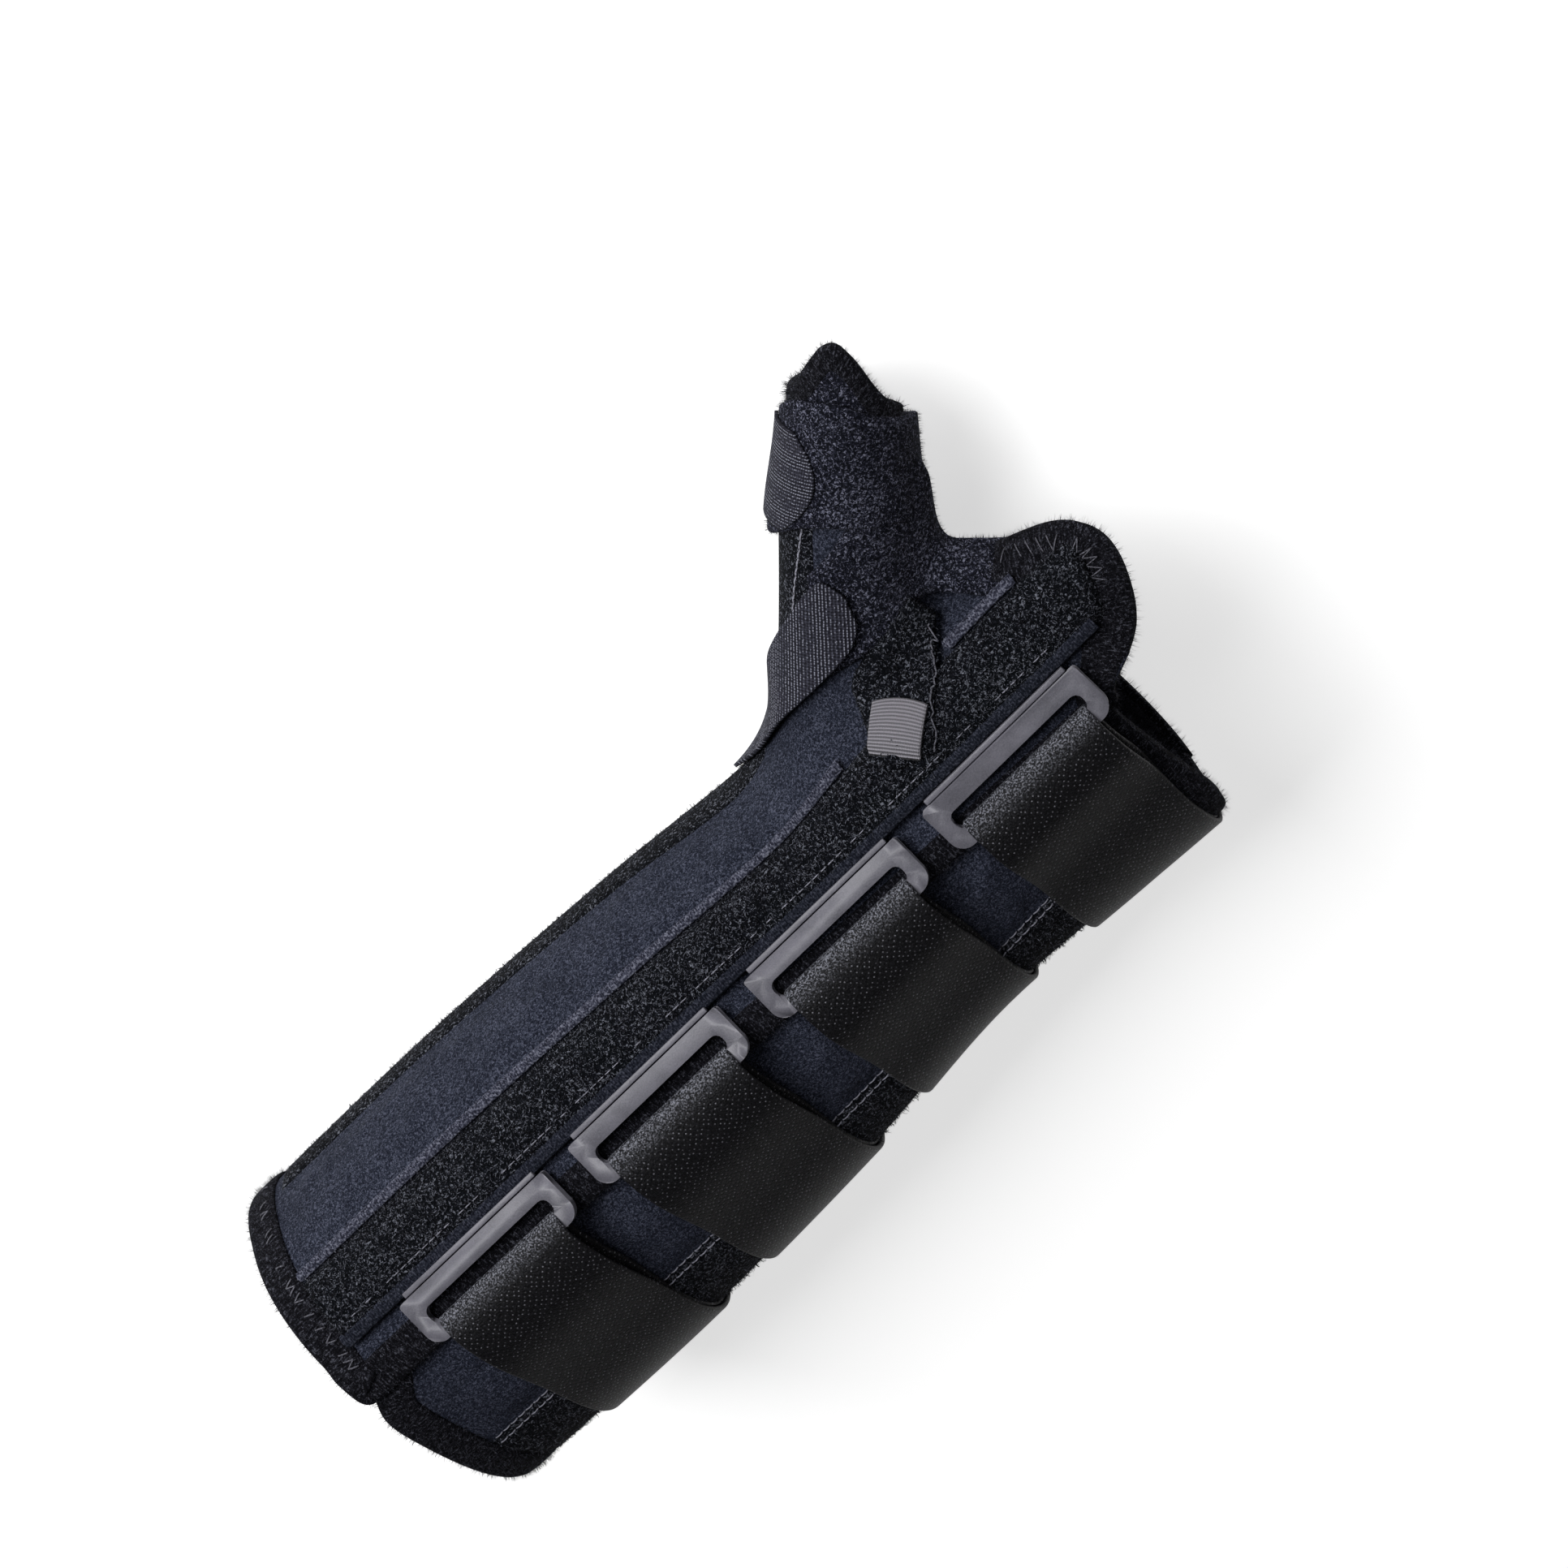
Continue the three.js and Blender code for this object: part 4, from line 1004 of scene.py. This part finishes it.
def buckleMesh(name, seat):
    bm = bmesh.new()
    bmesh.ops.create_grid(bm, x_segments=3, y_segments=3, size=0.5)
    lines = {"x": [-buckle["length"] / 2, -buckle["slot"] / 2, buckle["slot"] / 2, buckle["length"] / 2],
             "y": [0, buckle["innerBar"], buckle["width"] - buckle["outerBar"], buckle["width"]]}
    for vert in bm.verts:
        vert.co.x, vert.co.y = (lines[axis][round((value + 0.5) * 3)] * mm
                                for axis, value in (("x", vert.co.x), ("y", vert.co.y)))
    slotLow, slotHigh = lines["y"][1:3]
    slotMiddle = Vector((0, (slotLow + slotHigh) / 2 * mm, 0))
    middle = min(bm.faces, key=lambda face: (face.calc_center_median() - slotMiddle).length)
    bmesh.ops.delete(bm, geom=[middle], context="FACES")
    raised = bmesh.ops.extrude_face_region(bm, geom=bm.faces[:])["geom"]
    bmesh.ops.translate(bm, verts=[part for part in raised if isinstance(part, bmesh.types.BMVert)],
                        vec=(0, 0, buckle["thickness"] * mm))
    bmesh.ops.recalc_face_normals(bm, faces=bm.faces)

    def upright(test):
        return [edge for edge in bm.edges if abs(edge.verts[0].co.z - edge.verts[1].co.z) > mm
                and test(abs(edge.verts[0].co.x) / mm, edge.verts[0].co.y / mm)]

    end = buckle["length"] / 2 - 0.01
    bevelCorners(bm, upright(lambda x, y: x > end and y > buckle["width"] - 0.1), buckle["outerCorner"], 8)
    bevelCorners(bm, upright(lambda x, y: x > end and y < 0.1), buckle["innerCorner"], 3)
    bevelCorners(bm, upright(lambda x, y: abs(x - buckle["slot"] / 2) < 0.01
                             and slotLow - 0.1 < y < slotHigh + 0.1), buckle["slotCorner"], 4)
    sharp = [edge for edge in bm.edges if len(edge.link_faces) == 2 and edge.calc_face_angle(0) > 1.2]
    bevelCorners(bm, sharp, buckle["edge"], 3)
    flange = bmesh.ops.create_cube(bm, size=1)["verts"]
    bmesh.ops.scale(bm, verts=flange, vec=[side * mm for side in buckle["flange"]])
    bmesh.ops.translate(bm, verts=flange, vec=[step * mm for step in buckle["flangeAt"]])
    inFlange = [edge for edge in bm.edges if edge.verts[0] in flange and edge.verts[1] in flange]
    bevelCorners(bm, inFlange, buckle["flangeEdge"], 2)
    mesh = meshFrom(bm, name)
    flat = readPoints(mesh) / mm
    setPoints(mesh, bucklePoint(seat, -flat[:, 0], flat[:, 1], flat[:, 2]))
    faceOutwards(mesh)
    return mesh


# Straps: up round the ulnar side, through the slot, over the outer bar and back over themselves
strap = {"width": 38.0, "thickness": 1.3, "gap": 0.45, "slant": 5.0, "lowest": -39.1}


def strapPath(x, seat):
    reach = strap["gap"] + strap["thickness"] / 2
    join = seat["outerAngle"] - 8
    rise = buckle["pitchHigh"] - wall - reach
    lowerAngles = np.linspace(-210, join, 90)
    upperAngles = np.linspace(join - 2, -200, 90)
    bend = buckle["thickness"] / 2 + reach
    turnCentre = buckle["width"] - buckle["outerBar"] + 1
    turns = np.radians(np.linspace(-90, 90, 17))

    def lay(shift):
        slant = strap["slant"] * smooth(join - lowerAngles, 0, 100)
        lower = armPoint(x + shift - slant, lowerAngles,
                         wall + reach + rise * 0.75 * smooth(lowerAngles, join - 28, join + 10))
        under = bucklePoint(seat, shift + np.zeros(2), [buckle["width"] + 1.5, turnCentre + 0.8],
                            [-reach, -reach])
        fold = bucklePoint(seat, shift + np.zeros(17), turnCentre - bend * np.cos(turns),
                           buckle["thickness"] / 2 + bend * np.sin(turns))
        over = bucklePoint(seat, shift + np.zeros(2), [buckle["width"] - 1, buckle["width"] + 2],
                           [buckle["thickness"] + reach] * 2)
        slant = strap["slant"] * smooth(join - upperAngles, 0, 100)
        upper = armPoint(x + shift - slant, upperAngles, wall + reach + strap["thickness"] + 0.35
                         + (rise + buckle["thickness"]) * smooth(upperAngles, join - 46, join + 16))
        return np.concatenate([lower, under, fold, over, upper])

    return lay


def bandMesh(name, lay, width, thickness, rows, columns=14, closed=False, soften=3, lowest=None, origin=0):
    shifts = np.linspace(-width / 2, width / 2, 9)
    lines = np.stack([lay(shift) for shift in shifts])  # shift, row, xyz
    middle = lines[4]
    reach = np.concatenate([[0], np.cumsum(np.linalg.norm(np.diff(middle, axis=0), axis=1))])
    even = np.linspace(0, reach[-1], rows + 1)
    lines = np.stack([np.stack([np.interp(even, reach, line[:, k]) for k in range(3)], -1) for line in lines])
    for i in range(soften):
        lines[:, 1:-1] = (lines[:, :-2] + 2 * lines[:, 1:-1] + lines[:, 2:]) / 4
    ahead = np.gradient(lines, axis=1)
    if closed:
        ahead[:, 0] = ahead[:, -1] = lines[:, 1] - lines[:, -2]
    side = np.gradient(lines, axis=0)
    normal = np.cross(side, ahead)
    normal /= np.linalg.norm(normal, axis=-1)[..., None]
    half = thickness / 2
    turn = np.linspace(-90, 90, 7)
    profile = [(s, half) for s in np.linspace(-width / 2 + half, width / 2 - half, columns)]
    profile += [(width / 2 - half + half * np.cos(np.radians(a)), half * np.sin(np.radians(a)))
                for a in turn[::-1][1:-1]]
    profile += [(-s, -h) for s, h in profile]
    profile = np.array(profile + profile[:1])
    count = len(profile) - 1

    def place(u, v):
        row = v * rows
        spot = np.rint(u * count).astype(int) % count
        shift, rise = profile[spot].T
        lane = (shift / width + 0.5) * 8
        low = np.clip(np.floor(lane).astype(int), 0, 7)
        part = (lane - low)[:, None]
        index = np.rint(row).astype(int)
        point = lines[low, index] * (1 - part) + lines[low + 1, index] * part
        up = normal[low, index] * (1 - part) + normal[low + 1, index] * part
        point = point + rise[:, None] * up
        if lowest is not None:
            point[:, 2] = np.maximum(point[:, 2], lowest)
        return point, (shift, np.interp(row, np.arange(rows + 1), even) - reach[origin])

    return gridMesh(name, count, rows, place, wrap=True)


for i in range(strapRow["count"]):
    number = strapRow["count"] - i
    x = strapRow["first"] + strapRow["spacing"] * i
    buckleAt = buckleFrame(x)
    mesh = buckleMesh(f"buckle{number}", buckleAt)
    makeObject(f"buckle{number}", mesh, f"buckle_{number}", "buckle", plastic)
    mesh = bandMesh(f"strap{number}", strapPath(x, buckleAt), strap["width"], strap["thickness"], 200,
                    lowest=strap["lowest"], origin=100)
    makeObject(f"strap{number}", mesh, f"strap_{number}", "strap", strapCloth)
print("buckles and straps made")

# Strap round the thumb and its knit hook tab
thumbStrap = {"width": 31.0, "thickness": 2.1, "tabThickness": 0.9, "tabLow": 0.633, "tabHigh": 0.812,
              "tabEdge": 43, "tabBow": 24, "tabEnd": 108,
              "at": [-70, -40, 22, 52, 75, 110, 180, 235, 290],
              "low": [81, 80.5, 82, 81, 78, 74, 76, 80, 81],
              "high": [102, 104.5, 110.6, 110.2, 109, 104, 98, 96, 102]}


def thumbStrapLay(shift):
    angle = np.linspace(-70, 290, 121)
    share = shift / thumbStrap["width"] + 0.5
    place = mix(along(thumbStrap, "low", angle), along(thumbStrap, "high", angle), share)
    return thumbPoint(place, angle, wall + 0.75 + thumbStrap["thickness"] / 2)


def edgeTable(rows, scale=1.0):
    return {"at": [row[0] for row in rows], "lowAngle": [row[1] for row in rows],
            "low": [row[2] * scale for row in rows], "highAngle": [row[3] for row in rows],
            "high": [row[4] * scale for row in rows]}


def ribbonPlace(table, lift, dome=0.0, border=1.5):
    def place(u, v):
        t = mix(along(table, "low", v), along(table, "high", v), u) * thumbSizes["reach"]
        angle = mix(along(table, "lowAngle", v), along(table, "highAngle", v), u)
        rise = dome * domed(u, v, 24, 60, border)
        return thumbPoint(t, angle, lift(v) + rise), (t, angle * 0.3)
    return place


thumbBand = bandMesh("thumbStrap", thumbStrapLay, thumbStrap["width"], thumbStrap["thickness"], 120,
                     closed=True, soften=0)
makeObject("thumbStrap", thumbBand, "thumb_strap", "strap", plush)


def thumbTabPlace(u, v):
    edge = thumbStrap["tabEdge"] + thumbStrap["tabBow"] * (2 * v - 1)**2
    place = thumbSizes["reach"] * mix(thumbStrap["tabLow"], thumbStrap["tabHigh"], v)
    angle = mix(edge, thumbStrap["tabEnd"], u)
    return thumbPoint(place, angle, wall + 0.8 + thumbStrap["thickness"] + 0.9), (angle * 0.32, place)


sheetPiece("thumbHookTab", 40, 40, thumbTabPlace, thumbStrap["tabThickness"], "thumb_hook_tab", "hook_tab",
           hookCloth)

# Strap over the web of the thumb: edges as thumb angle and share of the reach, and its woven hook tab
webStrap = {"thickness": 1.5, "tabThickness": 0.9,
            "edges": [(0.0, 37, 0.36, 50, 0.55), (0.2, 12, 0.40, 30, 0.60), (0.4, -15, 0.44, 0, 0.69),
                      (0.56, -38, 0.482, -36, 0.73), (0.7, -55, 0.494, -58, 0.73),
                      (0.83, -67, 0.513, -69, 0.655), (0.92, -78, 0.515, -76, 0.57),
                      (1.0, -88, 0.50, -86, 0.545)],
            "tabEdges": [(0.0, 122, 0.08, 128, 0.19), (0.35, 80, 0.23, 96, 0.335), (0.7, 38, 0.36, 62, 0.47),
                         (0.9, 17, 0.43, 37, 0.55), (1.0, 12, 0.475, 20, 0.53)]}


def tabLift(v):
    return wall + 1.9 + 2.0 * smooth(v, 0.15, 0.5)


def webLift(v):
    return wall + 1.2 + 2.7 * smooth(v, 0.50, 0.78) * (1 - smooth(v, 0.86, 1))


webPiece = sheetPiece("webStrap", 36, 130, ribbonPlace(edgeTable(webStrap["edges"]), webLift, 0.7, 1.5),
                      webStrap["thickness"], "web_strap", "strap", plush)
sheetPiece("webHookTab", 30, 70, ribbonPlace(edgeTable(webStrap["tabEdges"]), tabLift),
           webStrap["tabThickness"], "web_hook_tab", "hook_tab", hookCloth)
print("thumb straps made")

# Loop pile on the radial side of the thumb, sewn to the smooth cloth
def thumbSidePlace(u, v):
    t = mix(14.0, gutterReach(mix(50.0, 196.0, v)) - 6, u)
    angle = mix(46.0 + 68 * (1 - smooth(t, 10, 52)), 196.0, v)
    return thumbPoint(t, angle, wall + 0.35 * domed(u, v, 100, 40, 1.5)), (t, angle * 0.28)


sheetPiece("thumbSidePile", 80, 60, thumbSidePlace, 0.5, None, "loop_pile", pile)

# Loop patch at the foot of the thumb, and the webbing pull tab sewn on it
patch = {"thickness": 1.0, "tab": 14.0, "tabThickness": 1.8}
patchTable = {"at": [0, 0.33, 0.67, 1], "seamX": [225, 220.2, 215.1, 204.9],
              "seamAngle": [87, 79.4, 71.1, 56.5], "sideX": [221, 204, 197, 191],
              "sideAngle": [96, 88.5, 78.5, 62]}
tabTable = {"at": [0, 1], "topX": [202.6, 211.4], "topAngle": [76.5, 66.8], "footX": [193.5, 201.4],
            "footAngle": [68.9, 57.4]}


def patchLift(x, angle):
    return dorsalHigh(x, np.minimum(angle, outerSeam(x))) + 0.2


def patchPlace(u, v):
    x = mix(along(patchTable, "seamX", v), along(patchTable, "sideX", v), u)
    angle = mix(along(patchTable, "seamAngle", v), along(patchTable, "sideAngle", v), u)
    lift = patchLift(x, angle) - 1.2 * smooth(u, 0.6, 1)
    return armPoint(x, angle, lift + patch["thickness"] * domed(u, v, 18, 26, 1.2)), (x, roundAngle(angle))


def tabPlace(u, v):
    x = mix(along(tabTable, "topX", u), along(tabTable, "footX", u), v)
    angle = mix(along(tabTable, "topAngle", u), along(tabTable, "footAngle", u), v)
    arch = 1.0 * (1 - (2 * u - 1)**2) * (1 - v)
    bent = 0.9 * smooth(v, 0.85, 1)
    lift = mix(7.6, 9.3, u) + 0.5 * np.sin(np.pi * v) - bent
    return armPoint(x + arch, angle + arch * 0.8, lift), (u * patch["tab"], v * patch["tab"])


thumbPatch = sheetPiece("thumbPatch", 24, 30, patchPlace, patch["thickness"], "thumb_patch", "loop_pile", pile)
sheetPiece("pullTab", 28, 28, tabPlace, patch["tabThickness"], "pull_tab", "webbing", webbing)
print("patch and pull tab made")

# Threads
stitching = {"width": 0.32, "thickness": 0.2, "zigzagStep": 1.35, "zigzagNear": 3.0, "zigzagFar": 6.2,
             "seed": 5}


def stitches(name, starts, ends, width=stitching["width"], arch=0.25, material=thread):
    run = ends - starts
    up = hollowSlope((starts + ends) / 2)
    up /= np.linalg.norm(up, axis=1)[:, None]
    side = np.cross(up, run)
    side /= np.linalg.norm(side, axis=1)[:, None]

    def place(index, across, along):
        return (starts[index] + run[index] * along[:, None] + side[index] * (across * width / 2)[:, None]
                + up[index] * (arch * np.sin(np.pi * along))[:, None])

    piece = makeObject(name, stripMesh(name, len(starts), 2, 4, place), slotName="seam", material=material)
    thicken(piece, stitching["thickness"], 0)


def dashes(points, share=0.78):  # one stitch from each point towards the next
    return points[:-1], points[:-1] + (points[1:] - points[:-1]) * share


def someOf(pair, share, seed):
    kept = np.random.default_rng(seed).random(len(pair[0])) < share
    return pair[0][kept], pair[1][kept]


zigFirst, zigSecond = evenPath(distalReach(lobeAngles), lobeAngles * arcStep, stitching["zigzagStep"], 6)
zigAcross = acrossPath(zigFirst, zigSecond)
zigInset = np.where(np.arange(len(zigFirst)) % 2, stitching["zigzagFar"], stitching["zigzagNear"])
zigX, zigAngle = zigFirst + zigAcross[0] * zigInset, (zigSecond + zigAcross[1] * zigInset) / arcStep
zigPoints = armPoint(zigX, zigAngle, panelTop(zigAngle) + 1.45)[np.arange(len(zigX)) > len(zigX) * 0.35]
stitches("lobeZigzag", *someOf((zigPoints[:-1], zigPoints[1:]), 0.55, stitching["seed"]), width=0.24,
         material=faintThread)
flapStitchX = np.arange(10.0, 232.0, 2.6)
for k, shift in enumerate((-0.9, 0.9)):
    line = armPoint(flapStitchX, pileEdgeAngle(flapStitchX) + shift, wall + 1.2 - 0.9 * k)
    stitches(f"flapStitches{k + 1}", *dashes(line, 0.86), width=0.26)
dorsalX = np.arange(16.0, 248.0, 2.4)
dorsalAngle = innerSeam(dorsalX) + 3.4
dorsalLine = armPoint(dorsalX, dorsalAngle, dorsalHigh(dorsalX, dorsalAngle) + 0.1)
stitches("dorsalStitches", *someOf(dashes(dorsalLine), 0.6, 8), width=0.24, arch=0.4)
seamPlace = np.linspace(0.16, 1, 24)
seamX = along(patchTable, "seamX", seamPlace)
seamAngle = along(patchTable, "seamAngle", seamPlace) + np.random.default_rng(6).normal(0, 0.8, 24)
seamPoints = armPoint(seamX, seamAngle, patchLift(seamX, seamAngle) + 0.9)
stitches("patchSeam", seamPoints[:-1], seamPoints[1:], arch=0.3, material=faintThread)
thumbSeamT = np.linspace(50, 84, 16)
thumbSeamAngle = np.interp(thumbSeamT, [50, 66.8, 74.7, 84], [72, 64.3, 58.6, 53.5])
stitches("thumbSeam", *dashes(thumbPoint(thumbSeamT, thumbSeamAngle, wall + 0.5), 0.95), width=0.4)
rimAngle = np.linspace(116, 34, 64)
rimX = np.where(np.arange(64) % 2, 5.5, 8.0)
rimPoints = armPoint(rimX, rimAngle, panelTop(rimAngle) + 1.4)
stitches("rimZigzag", *someOf((rimPoints[:-1], rimPoints[1:]), 0.3, 9), material=faintThread)
print("threads made")

# Loops and hairs
curls = {"width": 0.16, "taper": 0.2, "lean": 75, "curl": 190, "rows": 5}
hairs = {"width": 0.10, "taper": 0.8, "lean": 45, "curl": 70, "rows": 3}
for name, mesh, count, seed, reach, slotName in (
        ("dorsalCurls", dorsalPanel.data, 9000, 11, 1.5, "loop_pile"),
        ("flapCurls", flapPile.data, 14000, 12, 1.5, "loop_pile"),
        ("sideCurls", sideLoopPile.data, 16000, 13, 1.0, "loop_pile"),
        ("patchCurls", thumbPatch.data, 900, 14, 1.5, "loop_pile"),
        ("mainBindingHairs", mainBinding, 16000, 21, 1.5, "binding"),
        ("flapRimHairs", flapRim, 5000, 22, 1.5, "binding"),
        ("flapEndHairs", flapEnd, 3000, 23, 1.5, "binding"),
        ("palmarEndHairs", palmarEnd, 2500, 27, 1.5, "binding"),
        ("thumbTipHairs", thumbTip.data, 2500, 28, 1.2, "binding"),
        ("thumbBindingHairs", thumbBinding, 5000, 24, 1.5, "binding"),
        ("thumbStrapHairs", thumbBand, 8000, 25, 1.1, "strap"),
        ("webStrapHairs", webPiece.data, 4000, 26, 1.1, "strap")):
    look, material = (curls, pileCurl) if slotName == "loop_pile" else (hairs, plushHair)
    fibres(name, mesh, look | {"count": count, "seed": seed, "length": reach}, material, slotName)
for piece in madePieces:
    setPoints(piece.data, slimTip(armPoints(piece.data)))
print("fibres made")

# Floor, light and camera
studio = {"target": (0.02999, -0.01013, 0.01249), "towards": (0.2588, 0.5813, 0.7714), "distance": 1.0,
          "roll": 43.3, "focal": 98.76, "floorGlow": 0.6, "worldLight": 0.06}

floorGrid = bmesh.new()
bmesh.ops.create_grid(floorGrid, x_segments=1, y_segments=1, size=4)
floor = addObject("floor", meshFrom(floorGrid, "floor"))
paper, _, paperShader = startMaterial("paper", 0.9, (0.86, 0.86, 0.86))
paperShader.inputs["Emission Color"].default_value = (1, 1, 1, 1)
paperShader.inputs["Emission Strength"].default_value = studio["floorGlow"]
floor.data.materials.append(paper)


def areaLight(name, place, size, power):
    light = addObject(name, bpy.data.lights.new(name, "AREA"))
    light.data.energy = power
    light.data.size = size
    light.location = place
    light.rotation_euler = (Vector((0, 0, 0.03)) - Vector(place)).to_track_quat("-Z", "Y").to_euler()


areaLight("softKey", (-0.2, 1.3, 0.85), 0.8, 31)
areaLight("softTop", (0.5, 0.2, 1.5), 1.0, 2)
areaLight("softBack", (0.8, -1.2, 0.9), 0.9, 1)
world = bpy.data.worlds.new("studio")
world.use_nodes = True
world.node_tree.nodes["Background"].inputs[0].default_value = (1, 1, 1, 1)
world.node_tree.nodes["Background"].inputs[1].default_value = studio["worldLight"]
bpy.context.scene.world = world
bpy.context.scene.view_settings.view_transform = "Standard"

towards = Vector(studio["towards"]).normalized()
flatX = (Vector((1, 0, 0)) - towards.x * towards).normalized()
flatQ = towards.cross(flatX)
roll = math.radians(studio["roll"])
right = math.cos(roll) * flatX - math.sin(roll) * flatQ
upward = math.sin(roll) * flatX + math.cos(roll) * flatQ
camera = addObject("camera", bpy.data.cameras.new("camera"))
camera.data.lens = studio["focal"]
camera.data.sensor_width = 36
camera.data.clip_start, camera.data.clip_end = 0.05, 20
turned = Matrix((right, upward, towards)).transposed().to_4x4()
camera.matrix_world = Matrix.Translation(Vector(studio["target"]) + studio["distance"] * towards) @ turned
bpy.context.scene.camera = camera
print("studio made")
